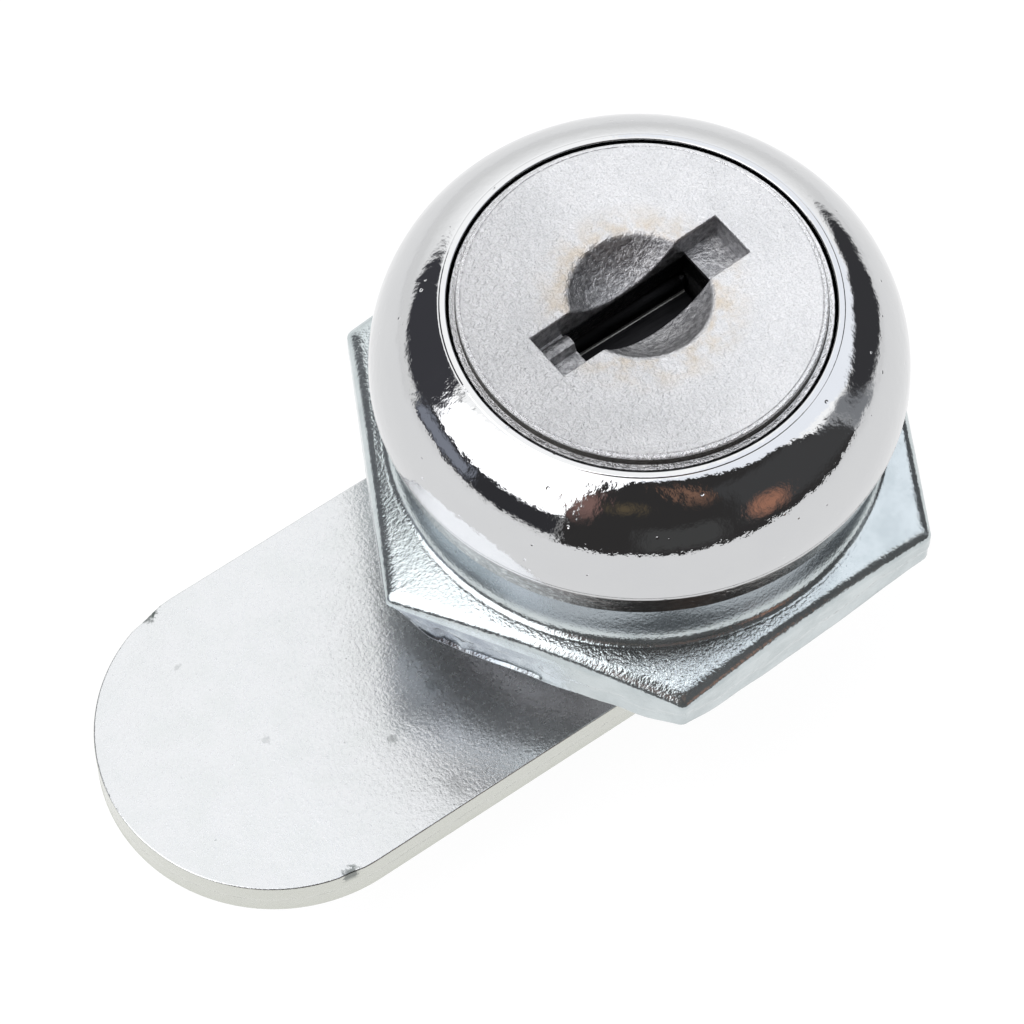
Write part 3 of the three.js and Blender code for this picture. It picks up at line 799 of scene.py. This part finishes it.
def shutter_leaf():
    half_x = shutter_high.x
    low, high = PIN_Z - SHUTTER_T / 2, PIN_Z + SHUTTER_T / 2
    tip = shutter_high.y
    top_angle = math.asin(SHUTTER_T / 2 / KNUCKLE_R)
    eye = arc(KNUCKLE_R, top_angle, 2 * math.pi - top_angle, 40, (PIN_Y, PIN_Z))
    eye_outline = [(*p, 0) for p in eye] + [(tip, low, 0.12), (tip, high, 0.06)]
    eye_outline = spread(rounded(eye_outline, closed=True, steps=4), 0.25)
    bore = arc(KNUCKLE_BORE_R, 0, 2 * math.pi, 32, (PIN_Y, PIN_Z))[:-1]
    hood = arc(KNUCKLE_R, top_angle, math.radians(115), 16, (PIN_Y, PIN_Z))
    hood += arc(KNUCKLE_R - HOOD_T, math.radians(115), 0, 16, (PIN_Y, PIN_Z))
    middle = [(*p, 0) for p in hood] + [(PIN_Y + KNUCKLE_R, low, 0), (tip, low, 0.12), (tip, high, 0.06)]
    middle = spread(rounded(middle, closed=True, steps=4), 0.25)
    made = extruded_x("shutter_leaf", eye_outline, [bore], -half_x, -KNUCKLE_IN_X, 0.04)
    other = extruded_x("other", eye_outline, [bore], KNUCKLE_IN_X, half_x, 0.04)
    between = extruded_x("between", middle, [], -KNUCKLE_IN_X - 0.1, KNUCKLE_IN_X + 0.1, 0.02)
    made = combined(made, between, "UNION")
    made = combined(made, other, "UNION")
    return smooth(made)


# ---- Materials ---------------------------------------------------------------------------------

ZINC_METALLIC = 0.86  # plating scatters a little light


class Paint:
    """A Principled material and the nodes that drive it, on the object's own millimetres."""

    def __init__(self, name, color, metallic, roughness):
        self.material = bpy.data.materials.new(name)
        self.material.use_nodes = True
        self.tree = self.material.node_tree
        self.tree.nodes.clear()
        output = self.node("ShaderNodeOutputMaterial")
        self.shader = self.node("ShaderNodeBsdfPrincipled")
        self.tree.links.new(self.shader.outputs[0], output.inputs["Surface"])
        self.shader.inputs["Base Color"].default_value = (*color, 1)
        self.shader.inputs["Metallic"].default_value = metallic
        self.shader.inputs["Roughness"].default_value = roughness
        place = self.node("ShaderNodeTexCoord").outputs["Object"]
        self.mm = self.node("ShaderNodeVectorMath", {0: place, "Scale": 1 / MM}, operation="SCALE").outputs[0]
        split = self.node("ShaderNodeSeparateXYZ", {0: self.mm})
        self.x, self.y, self.z = split.outputs
        flat = self.node("ShaderNodeCombineXYZ", {0: self.x, 1: self.y}).outputs[0]
        self.radius = self.node("ShaderNodeVectorMath", {0: flat}, operation="LENGTH").outputs["Value"]

    def node(self, kind, inputs=None, **settings):
        made = self.tree.nodes.new(kind)
        for key, value in settings.items():
            setattr(made, key, value)
        for key, value in (inputs or {}).items():
            if isinstance(value, bpy.types.NodeSocket):
                self.tree.links.new(value, made.inputs[key])
            else:
                made.inputs[key].default_value = value
        return made

    def math(self, operation, a, b=0.0, clamp=False):
        return self.node("ShaderNodeMath", {0: a, 1: b}, operation=operation, use_clamp=clamp).outputs[0]

    def noise(self, size, detail=2.0, rough=0.5, shift=0.0, stretch=None):
        place = self.mm
        if shift or stretch:
            inputs = {"Vector": place, "Location": (shift, shift, shift)}
            if stretch:
                inputs["Scale"] = stretch
            place = self.node("ShaderNodeMapping", inputs).outputs[0]
        inputs = {"Vector": place, "Scale": 1 / size, "Detail": detail, "Roughness": rough}
        return self.node("ShaderNodeTexNoise", inputs).outputs["Fac"]

    def cells(self, size, shift=0.0):
        place = self.node("ShaderNodeMapping", {"Vector": self.mm, "Location": (shift, shift, shift)})
        inputs = {"Vector": place.outputs[0], "Scale": 1 / size}
        return self.node("ShaderNodeTexVoronoi", inputs).outputs["Distance"]

    def remap(self, value, low, high, to_low=0.0, to_high=1.0, kind="SMOOTHSTEP"):
        inputs = {0: value, 1: low, 2: high, 3: to_low, 4: to_high}
        return self.node("ShaderNodeMapRange", inputs, interpolation_type=kind).outputs[0]

    def mix(self, share, a, b):
        def colour(c):
            return c if isinstance(c, bpy.types.NodeSocket) else (*c, 1)

        made = self.node("ShaderNodeMix", data_type="RGBA")
        for key, value in ((0, share), (6, colour(a)), (7, colour(b))):
            if isinstance(value, bpy.types.NodeSocket):
                self.tree.links.new(value, made.inputs[key])
            else:
                made.inputs[key].default_value = value
        return made.outputs[2]

    def bump(self, height, depth, under=None):
        """Relief of the given depth in millimetres."""
        inputs = {"Height": height, "Distance": depth * MM, "Strength": 1.0}
        if under:
            inputs["Normal"] = under
        return self.node("ShaderNodeBump", inputs).outputs[0]

    def use(self, **sockets):
        names = {"color": "Base Color", "roughness": "Roughness", "normal": "Normal"}
        for key, value in sockets.items():
            self.tree.links.new(value, self.shader.inputs[names[key]])
        return self.material


def chrome_paint():
    """Bright chrome with orange peel and a few pits, a rippled dark reflection painted on the skirt, and
    plain grey on the barrel.
    """
    p = Paint("chrome", (0.60, 0.61, 0.62), 1.0, 0.04)
    peel = p.bump(p.noise(1.5, 2, 0.5), 0.035)
    ripple = p.bump(p.noise(0.42, 3, 0.55, 7.0), 0.008, peel)
    fine = p.bump(p.noise(0.19, 2, 0.5, 27.0), 0.0045, ripple)
    skirt = p.remap(p.z, SKIRT_TURN_Z - 0.1, SKIRT_TURN_Z + 0.05, 1.0, 0.0)
    rough_skirt = p.bump(p.math("MULTIPLY", p.noise(0.35, 3, 0.6, 31.0), skirt), 0.03, fine)
    pit_mask = p.remap(p.cells(0.75, 3.0), 0.04, 0.13, 1.0, 0.0)
    few = p.remap(p.noise(1.3, 0, 0.5, 11.0), 0.5, 0.56)
    pits = p.math("MULTIPLY", pit_mask, few)
    pitted = p.bump(p.math("SUBTRACT", 1.0, pits), 0.018, rough_skirt)
    tint = p.mix(p.noise(2.2, 2, 0.5, 21.0), (0.585, 0.59, 0.60), (0.615, 0.62, 0.625))
    # painted reflection: the skirt's colour is made dark and rippled, standing in for its reflection of the
    # shaded nut below
    painted_skirt_reflection = p.mix(p.remap(p.noise(0.3, 3, 0.6, 51.0), 0.46, 0.78), (0.07, 0.06, 0.058), (0.36, 0.35, 0.34))
    tint = p.mix(skirt, tint, painted_skirt_reflection)
    barrel = p.remap(p.z, -0.15, -0.05, 1.0, 0.0)
    tint = p.mix(barrel, tint, (0.26, 0.26, 0.27))
    rough = p.remap(p.noise(0.8, 3, 0.6, 5.0), 0.3, 0.75, 0.025, 0.06)
    return p.use(color=tint, roughness=rough, normal=pitted)


def satin_paint():
    """The cap's satin face: fine grain, a darker dish and slot, painted shade on the slot's pocket floors and
    on the face's step wall, and faint warm stains round the dish.
    """
    p = Paint("satin_face", (0.6, 0.6, 0.6), 1.0, 0.45)
    grain = p.noise(0.09, 3, 0.65)
    coarse = p.noise(0.28, 2, 0.6, 9.0)
    left = p.remap(p.x, -3.0, 7.0, 0.5, 1.0)
    fine_relief = p.bump(p.math("MULTIPLY", grain, left), 0.075)
    relief = p.bump(p.math("MULTIPLY", coarse, left), 0.10, fine_relief)
    tone = p.mix(p.remap(grain, 0.3, 0.7), (0.63, 0.63, 0.64), (0.78, 0.78, 0.79))
    tone = p.mix(p.remap(p.noise(2.5, 3, 0.6, 4.0), 0.35, 0.7, 0.0, 0.3), tone, (0.52, 0.53, 0.54))
    ring = p.math("MULTIPLY", p.remap(p.radius, 2.95, 3.15), p.remap(p.radius, 5.0, 3.2))
    stain = p.math("MULTIPLY", ring, p.remap(p.noise(1.1, 4, 0.65, 14.0), 0.36, 0.68))
    tone = p.mix(p.math("MULTIPLY", stain, 0.6), tone, (0.58, 0.47, 0.33))
    sunk = p.remap(p.z, FACE_Z - 0.16, FACE_Z - 0.03, 1.0, 0.0)
    inside = p.math("MULTIPLY", sunk, p.remap(p.radius, FACE_R - 0.5, FACE_R - 0.3, 1.0, 0.0))
    dark = p.mix(p.remap(coarse, 0.35, 0.65), (0.30, 0.30, 0.31), (0.54, 0.54, 0.55))
    tone = p.mix(inside, tone, dark)
    # painted shade: the slot's pocket floors are made nearly black, standing in for the shade inside the
    # keyway
    deep_shade = p.remap(p.z, POCKET_Z - 0.3, POCKET_Z - 0.05, 1.0, 0.0)
    within = p.remap(p.radius, 4.2, 4.6, 1.0, 0.0)
    tone = p.mix(p.math("MULTIPLY", deep_shade, within), tone, (0.03, 0.03, 0.032))
    # painted shade: the step wall below the face's rounded rim is made dark, standing in for shade and its
    # dark reflection
    step = p.math("MULTIPLY", p.remap(p.z, FACE_Z - 0.13, FACE_Z - 0.09, 1.0, 0.0),
                  p.remap(p.radius, FACE_R + 0.02, FACE_R + 0.05, 1.0, 0.0))
    step = p.math("MULTIPLY", step, p.remap(p.radius, FACE_R - 0.1, FACE_R - 0.06))
    tone = p.mix(step, tone, (0.12, 0.115, 0.105))
    rim = p.remap(p.radius, FACE_R - BEVEL - 0.1, FACE_R - BEVEL - 0.05)
    rough = p.mix(rim, p.remap(grain, 0.25, 0.75, 0.27, 0.42), (0.22, 0.22, 0.22))
    return p.use(color=tone, roughness=rough, normal=relief)


def zinc(name, light, dark, rough_low, rough_high, grain_depth):
    """Zinc plating on stamped steel: cloudy blue-grey, with fine texture and a few dark specks.

    Returns the paint and its tone, roughness and relief, for a piece to add its own marks to.
    """
    p = Paint(name, light, ZINC_METALLIC, rough_low)
    fine = p.noise(0.15, 2, 0.6)
    coarse = p.noise(0.4, 2, 0.5, 6.0)
    textured = p.bump(coarse, grain_depth * 0.5, p.bump(fine, grain_depth))
    relief = p.bump(p.noise(3.5, 1, 0.5, 8.0), 0.02, textured)
    tone = p.mix(p.remap(p.noise(1.7, 3, 0.6, 3.0), 0.35, 0.7), light, dark)
    smudge = p.remap(p.noise(0.55, 3, 0.7, 17.0), 0.71, 0.77)
    tone = p.mix(p.math("MULTIPLY", smudge, 0.45), tone, (0.14, 0.155, 0.15))
    rough = p.remap(fine, 0.3, 0.7, rough_low, rough_high)
    return p, tone, rough, relief


def nut_paint():
    """The nut's plating: rougher on the hub and painted darker there as shade under the head, and darker and
    bluer on the side by its torn corner.
    """
    p, tone, rough, relief = zinc("zinc_nut", (0.60, 0.65, 0.66), (0.51, 0.56, 0.57), 0.09, 0.18, 0.016)
    # painted shade: the hub is made darker where the head above shades it; its added roughness is the
    # plating's own
    on_hub = p.remap(p.z, NUT_TOP_Z + 0.35, NUT_TOP_Z + 0.8)
    tone = p.mix(on_hub, tone, (0.36, 0.40, 0.43))
    rough = p.math("ADD", rough, p.math("MULTIPLY", on_hub, 0.1))
    # darker and bluer on the side wall near the torn corner
    away = p.node("ShaderNodeVectorMath", {0: p.mm, 1: TORN_PLACE}, operation="DISTANCE").outputs["Value"]
    below = p.remap(p.z, NUT_TOP_Z - 0.9, NUT_TOP_Z - 1.1)
    torn = p.math("MULTIPLY", p.remap(away, 1.5, 8.5, 1.0, 0.0), below)
    torn = p.math("MULTIPLY", torn, p.remap(p.noise(0.9, 3, 0.6, 23.0), 0.3, 0.6, 0.5, 1.0))
    tone = p.mix(torn, tone, (0.27, 0.30, 0.34))
    return p.use(color=tone, roughness=rough, normal=relief)


def cam_marks(p):
    """Dark marks at the cam's chips and scuffs, each ragged and soft."""
    total = 0.0
    ragged = p.remap(p.noise(0.22, 2, 0.6, 41.0), 0.3, 0.7, 0.6, 1.4)
    for (x, y), size, strength in CAM_MARKS:
        dx = p.math("POWER", p.math("SUBTRACT", p.x, x), 2.0)
        dy = p.math("POWER", p.math("SUBTRACT", p.y, y), 2.0)
        away = p.math("MULTIPLY", p.math("POWER", p.math("ADD", dx, dy), 0.5), ragged)
        total = p.math("ADD", total, p.remap(away, 0.5 * size, size, strength, 0.0), clamp=True)
    return p.math("MULTIPLY", total, p.remap(p.z, CAM_TOP_Z - 0.7, CAM_TOP_Z - 0.3))


def cam_paint():
    """The cam's plating, warmer on its sheared edge, with its marks."""
    p, tone, rough, relief = zinc("zinc_cam", (0.615, 0.625, 0.635), (0.595, 0.61, 0.615), 0.2, 0.28, 0.013)
    facing = p.node("ShaderNodeSeparateXYZ", {0: p.node("ShaderNodeNewGeometry").outputs["True Normal"]})
    side = p.remap(p.math("ABSOLUTE", facing.outputs[2]), 0.5, 0.8, 1.0, 0.0)
    tone = p.mix(side, tone, (0.62, 0.63, 0.58))
    tone = p.mix(cam_marks(p), tone, (0.10, 0.115, 0.11))
    return p.use(color=tone, roughness=rough, normal=relief)


def washer_paint():
    p, tone, rough, relief = zinc("zinc_small", (0.60, 0.63, 0.64), (0.48, 0.51, 0.52), 0.2, 0.34, 0.006)
    return p.use(color=tone, roughness=rough, normal=relief)


def plain_metal(name, light, dark, size, rough_low, rough_high, depth):
    """Metal with two tones in clouds of the given size, and relief of the given depth."""
    p = Paint(name, light, 1.0, rough_low)
    cloud = p.noise(size, 3, 0.6)
    relief = p.bump(p.noise(size / 5, 2, 0.6, 2.0), depth)
    return p.use(
        color=p.mix(p.remap(cloud, 0.35, 0.65), light, dark),
        roughness=p.remap(cloud, 0.3, 0.7, rough_low, rough_high),
        normal=relief,
    )


def shutter_paint():
    """Steel painted nearly black as shade inside the keyway, with a painted highlight line along its hinge's
    ridge.
    """
    p = Paint("shutter_steel", (0.04, 0.04, 0.045), 1.0, 0.35)
    scratch = p.noise(0.25, 2, 0.5, 1.0, (0.2, 3.0, 3.0))
    # painted highlight: a narrow bright line along the hinge's ridge; the rest is painted near black as shade
    # in the keyway
    ridge = PIN_Y + KNUCKLE_R
    past = p.remap(p.y, ridge - 0.01, ridge + 0.02, 1.0, 0.0)
    painted_highlight_line = p.math("MULTIPLY", p.remap(p.y, ridge - 0.09, ridge - 0.06), past)
    painted_highlight_line = p.math("MULTIPLY", painted_highlight_line, p.remap(p.noise(0.5, 2, 0.5, 8.0), 0.2, 0.4, 0.5, 1.0))
    dark = p.mix(scratch, (0.012, 0.012, 0.013), (0.03, 0.03, 0.032))
    color = p.mix(painted_highlight_line, dark, (0.62, 0.62, 0.6))
    return p.use(color=color, roughness=p.remap(scratch, 0.3, 0.7, 0.3, 0.5), normal=p.bump(scratch, 0.004))


# ---- Pieces ------------------------------------------------------------------------------------

chrome = chrome_paint()
satin = satin_paint()
zinc_nut = nut_paint()
zinc_cam = cam_paint()
zinc_small = washer_paint()
cast = plain_metal("cast_zinc", (0.16, 0.16, 0.165), (0.08, 0.08, 0.085), 0.5, 0.45, 0.65, 0.012)
brass = plain_metal("stamped_brass", (0.68, 0.46, 0.19), (0.55, 0.36, 0.15), 1.0, 0.22, 0.38, 0.004)
steel = plain_metal("spring_steel", (0.20, 0.205, 0.21), (0.12, 0.125, 0.13), 0.4, 0.22, 0.35, 0.002)


def place(made, material, body, slot, *nodes):
    """Puts a piece on its body, in place of its CAD nodes."""
    made.data.materials.clear()
    made.data.materials.append(material)
    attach(made, body)
    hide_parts(*nodes)


place(head_and_barrel(), chrome, "housing", "chrome", "lock_body")
place(face_cap(), satin, "plug_and_cam", "satin_face", "face_cap")
place(hex_nut(), zinc_nut, "nut", "zinc_plate", "hex_nut")
place(cam_plate(), zinc_cam, "plug_and_cam", "zinc_cam", "cam")
place(tab_washer(), zinc_small, "plug_and_cam", "zinc_plate", "stop_washer")
place(split_washer(), zinc_small, "plug_and_cam", "zinc_plate", "lock_washer")
place(pan_screw(), zinc_small, "plug_and_cam", "zinc_plate", "cam_screw")
place(shutter_leaf(), shutter_paint(), "shutter_flap", "spring_steel", "shutter")

KEPT = {"plug": cast, "shutter_pin": steel, "shutter_spring": steel}
for number in range(1, 6):
    KEPT[f"wafer_{number}"] = brass
    KEPT[f"wafer_spring_{number}"] = steel
for node, material in KEPT.items():
    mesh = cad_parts[node].data
    mesh.materials.clear()
    mesh.materials.append(material)

# ---- Floor, light and camera -------------------------------------------------------------------

CAMERA_AIM = (8.04, 1.91, 0.0)
CAMERA_FROM = (70.52, 87.49, 184.47)
CAMERA_ROLL = 0.26
CAMERA_LENS = 177.54
SENSOR = 36.0
VIEW_ANGLE = math.degrees(math.atan2(CAMERA_FROM[1] - CAMERA_AIM[1], CAMERA_FROM[0] - CAMERA_AIM[0]))
PALE = 0.93
TABLE_EDGE = 155.0  # how far the pale table runs towards the camera


def floor():
    """A pale table under the lock, which ends short of the camera. It glows with painted light, brightest
    near the lock and fading outwards.
    """
    far = 2000.0
    z = screw_low.z - 0.02
    view = math.radians(VIEW_ANGLE)
    ahead = Vector((math.cos(view), math.sin(view), 0))
    across = Vector((-ahead.y, ahead.x, 0))
    reach = ((-far, -far), (TABLE_EDGE, -far), (TABLE_EDGE, far), (-far, far))
    points = [ahead * a + across * b + Vector((0, 0, z)) for a, b in reach]
    made = from_points("floor", points, [(0, 1, 2, 3)])
    p = Paint("floor", (0.12, 0.12, 0.12), 0.0, 0.9)
    # painted light: the table's glow is brightest near the lock and fades with distance
    shade = p.remap(p.radius, 60, 420, PALE, PALE - 0.12)
    tone = p.node("ShaderNodeCombineColor", {0: shade, 1: shade, 2: shade}).outputs[0]
    p.tree.links.new(tone, p.shader.inputs["Emission Color"])
    p.shader.inputs["Emission Strength"].default_value = 1.0
    made.data.materials.append(p.material)


# The studio as the lock sees it. Azimuth 0 is towards the camera and positive to the picture's
# right. Each panel is (shape, middle azimuth and elevation, half width and height, lean of its
# elevation, lean of its azimuth, softness, radiance), in degrees but for the leans and the last.
PANELS_BEHIND = (  # the soft box covers these
    ("box", (-62, 10), (34, 12), 0.0, 0.0, 4, (0.045, 0.045, 0.05)),
    ("box", (-79, 9), (15, 7), 0.0, 0.0, 6, (0.30, 0.32, 0.38)),
)
PANELS_BEFORE = (  # and these stand before it
    ("box", (30, 0), (58, 97), 0.0, 0.0, 3, (0.045, 0.043, 0.043)),
    ("box", (15, 9), (15, 12), 0.0, 0.0, 8, (0.08, 0.08, 0.08)),
    ("box", (62, 32), (24, 28), 0.0, 0.0, 10, (0.075, 0.075, 0.077)),
    ("oval", (48, 15), (6, 9), 0.0, 0.0, 10, (0.50, 0.24, 0.16)),
    ("oval", (28, 62), (6, 13), 0.0, 0.0, 12, (0.30, 0.17, 0.12)),
    ("oval", (-23, 45), (5, 17), 0.0, 0.0, 8, (0.30, 0.18, 0.16)),
    ("oval", (-5, 46), (6, 6), 0.0, 0.0, 12, (0.14, 0.11, 0.07)),
    ("box", (125, 65), (40, 28), 0.0, 0.7, 4, (1.3, 1.34, 1.42)),
    ("box", (94, 20), (7, 20), 0.0, 0.0, 8, (0.30, 0.31, 0.33)),
    ("oval", (123, 20), (27, 20), 0.0, 0.0, 6, (0.055, 0.055, 0.06)),
    ("oval", (-119, 34), (30, 24), -0.35, 0.0, 6, (0.065, 0.065, 0.075)),
)
LAMP_RADIANCE = (2.6, 2.6, 2.65)
LAMP_EDGES = ((0.98, 0.03, 0.2), (-0.485, -0.875, 0.0))  # inward normals of the soft box's side edges
LAMP_LOW = 21.0  # elevation of its lower edge
SWEEP = (8, 42)  # elevations between which the table's backdrop brightens
BACK = 1.5


def sky():
    """The panels and the soft box, which only reflections see, before a plain pale backdrop."""
    world = bpy.data.worlds.new("studio")
    bpy.context.scene.world = world
    world.use_nodes = True
    tree = world.node_tree
    tree.nodes.clear()

    def node(kind, inputs=None, **settings):
        made = tree.nodes.new(kind)
        for key, value in settings.items():
            setattr(made, key, value)
        for key, value in (inputs or {}).items():
            if isinstance(value, bpy.types.NodeSocket):
                tree.links.new(value, made.inputs[key])
            else:
                made.inputs[key].default_value = value
        return made

    def calc(operation, a, b=0.0):
        return node("ShaderNodeMath", {0: a, 1: b}, operation=operation).outputs[0]

    def step(value, low, high):
        inputs = {0: value, 1: low, 2: high}
        return node("ShaderNodeMapRange", inputs, interpolation_type="SMOOTHSTEP").outputs[0]

    def band(value, low, high, soft):
        up = step(value, low - soft / 2, low + soft / 2)
        down = step(value, high - soft / 2, high + soft / 2)
        return calc("MULTIPLY", up, calc("SUBTRACT", 1.0, down))

    def panel_share(shape, middle, half, lean_up, lean_round, soft):
        across = calc("SUBTRACT", azimuth, middle[0])
        up = calc("SUBTRACT", elevation, middle[1])
        leaned = calc("SUBTRACT", up, calc("MULTIPLY", across, lean_up)) if lean_up else up
        across = calc("ADD", across, calc("MULTIPLY", up, lean_round)) if lean_round else across
        if shape == "box":
            wide = band(across, -half[0], half[0], soft)
            return calc("MULTIPLY", wide, band(leaned, -half[1], half[1], soft))
        wide = calc("POWER", calc("DIVIDE", across, half[0]), 2.0)
        tall = calc("POWER", calc("DIVIDE", leaned, half[1]), 2.0)
        edge = soft / min(half)
        away = calc("POWER", calc("ADD", wide, tall), 0.5)
        return calc("SUBTRACT", 1.0, step(away, 1 - edge / 2, 1 + edge / 2))

    def painted(under, share, radiance):
        mixed = node("ShaderNodeMix", data_type="RGBA")
        tree.links.new(share, mixed.inputs[0])
        tree.links.new(under, mixed.inputs[6])
        mixed.inputs[7].default_value = (*radiance, 1)
        return mixed.outputs[2]

    way = node("ShaderNodeTexCoord").outputs["Generated"]
    turned = node("ShaderNodeVectorRotate", {"Vector": way, "Angle": math.radians(-VIEW_ANGLE)},
                  rotation_type="Z_AXIS").outputs[0]
    x, y, z = node("ShaderNodeSeparateXYZ", {0: turned}).outputs
    azimuth = calc("MULTIPLY", calc("ARCTAN2", y, x), 180 / math.pi)
    elevation = calc("MULTIPLY", calc("ARCSINE", z), 180 / math.pi)
    base = node("ShaderNodeMapRange", {0: elevation, 1: SWEEP[0], 2: SWEEP[1], 3: 1.0, 4: BACK}).outputs[0]
    color = node("ShaderNodeCombineColor", {0: base, 1: base, 2: base}).outputs[0]
    lamp = step(elevation, LAMP_LOW - 1.5, LAMP_LOW + 1.5)
    for front, right, up in LAMP_EDGES:
        inward = calc("ADD", calc("MULTIPLY", x, front), calc("MULTIPLY", y, right))
        lamp = calc("MULTIPLY", lamp, step(calc("ADD", inward, calc("MULTIPLY", z, up)), -0.02, 0.03))
    for panel in PANELS_BEHIND:
        color = painted(color, panel_share(*panel[:-1]), panel[-1])
    color = painted(color, lamp, LAMP_RADIANCE)
    for panel in PANELS_BEFORE:
        color = painted(color, panel_share(*panel[:-1]), panel[-1])
    lit = node("ShaderNodeBackground", {"Color": color})
    plain = node("ShaderNodeBackground", {"Color": (PALE, PALE, PALE, 1)})
    seen = node("ShaderNodeLightPath").outputs["Is Camera Ray"]
    both = node("ShaderNodeMixShader", {0: seen, 1: lit.outputs[0], 2: plain.outputs[0]})
    node("ShaderNodeOutputWorld", {"Surface": both.outputs[0]})


def camera():
    data = bpy.data.cameras.new("camera")
    data.sensor_width = SENSOR
    data.lens = CAMERA_LENS
    data.clip_start = 0.01
    data.clip_end = 20.0
    made = bpy.data.objects.new("camera", data)
    bpy.context.scene.collection.objects.link(made)
    place_at = Vector(CAMERA_FROM) * MM
    look = (Vector(CAMERA_AIM) * MM - place_at).normalized()
    turn = look.to_track_quat("-Z", "Y").to_matrix().to_4x4()
    roll = Matrix.Rotation(math.radians(CAMERA_ROLL), 4, "Z")
    made.matrix_world = Matrix.Translation(place_at) @ turn @ roll
    bpy.context.scene.camera = made


floor()
sky()
camera()
bpy.context.scene.view_settings.view_transform = "Standard"
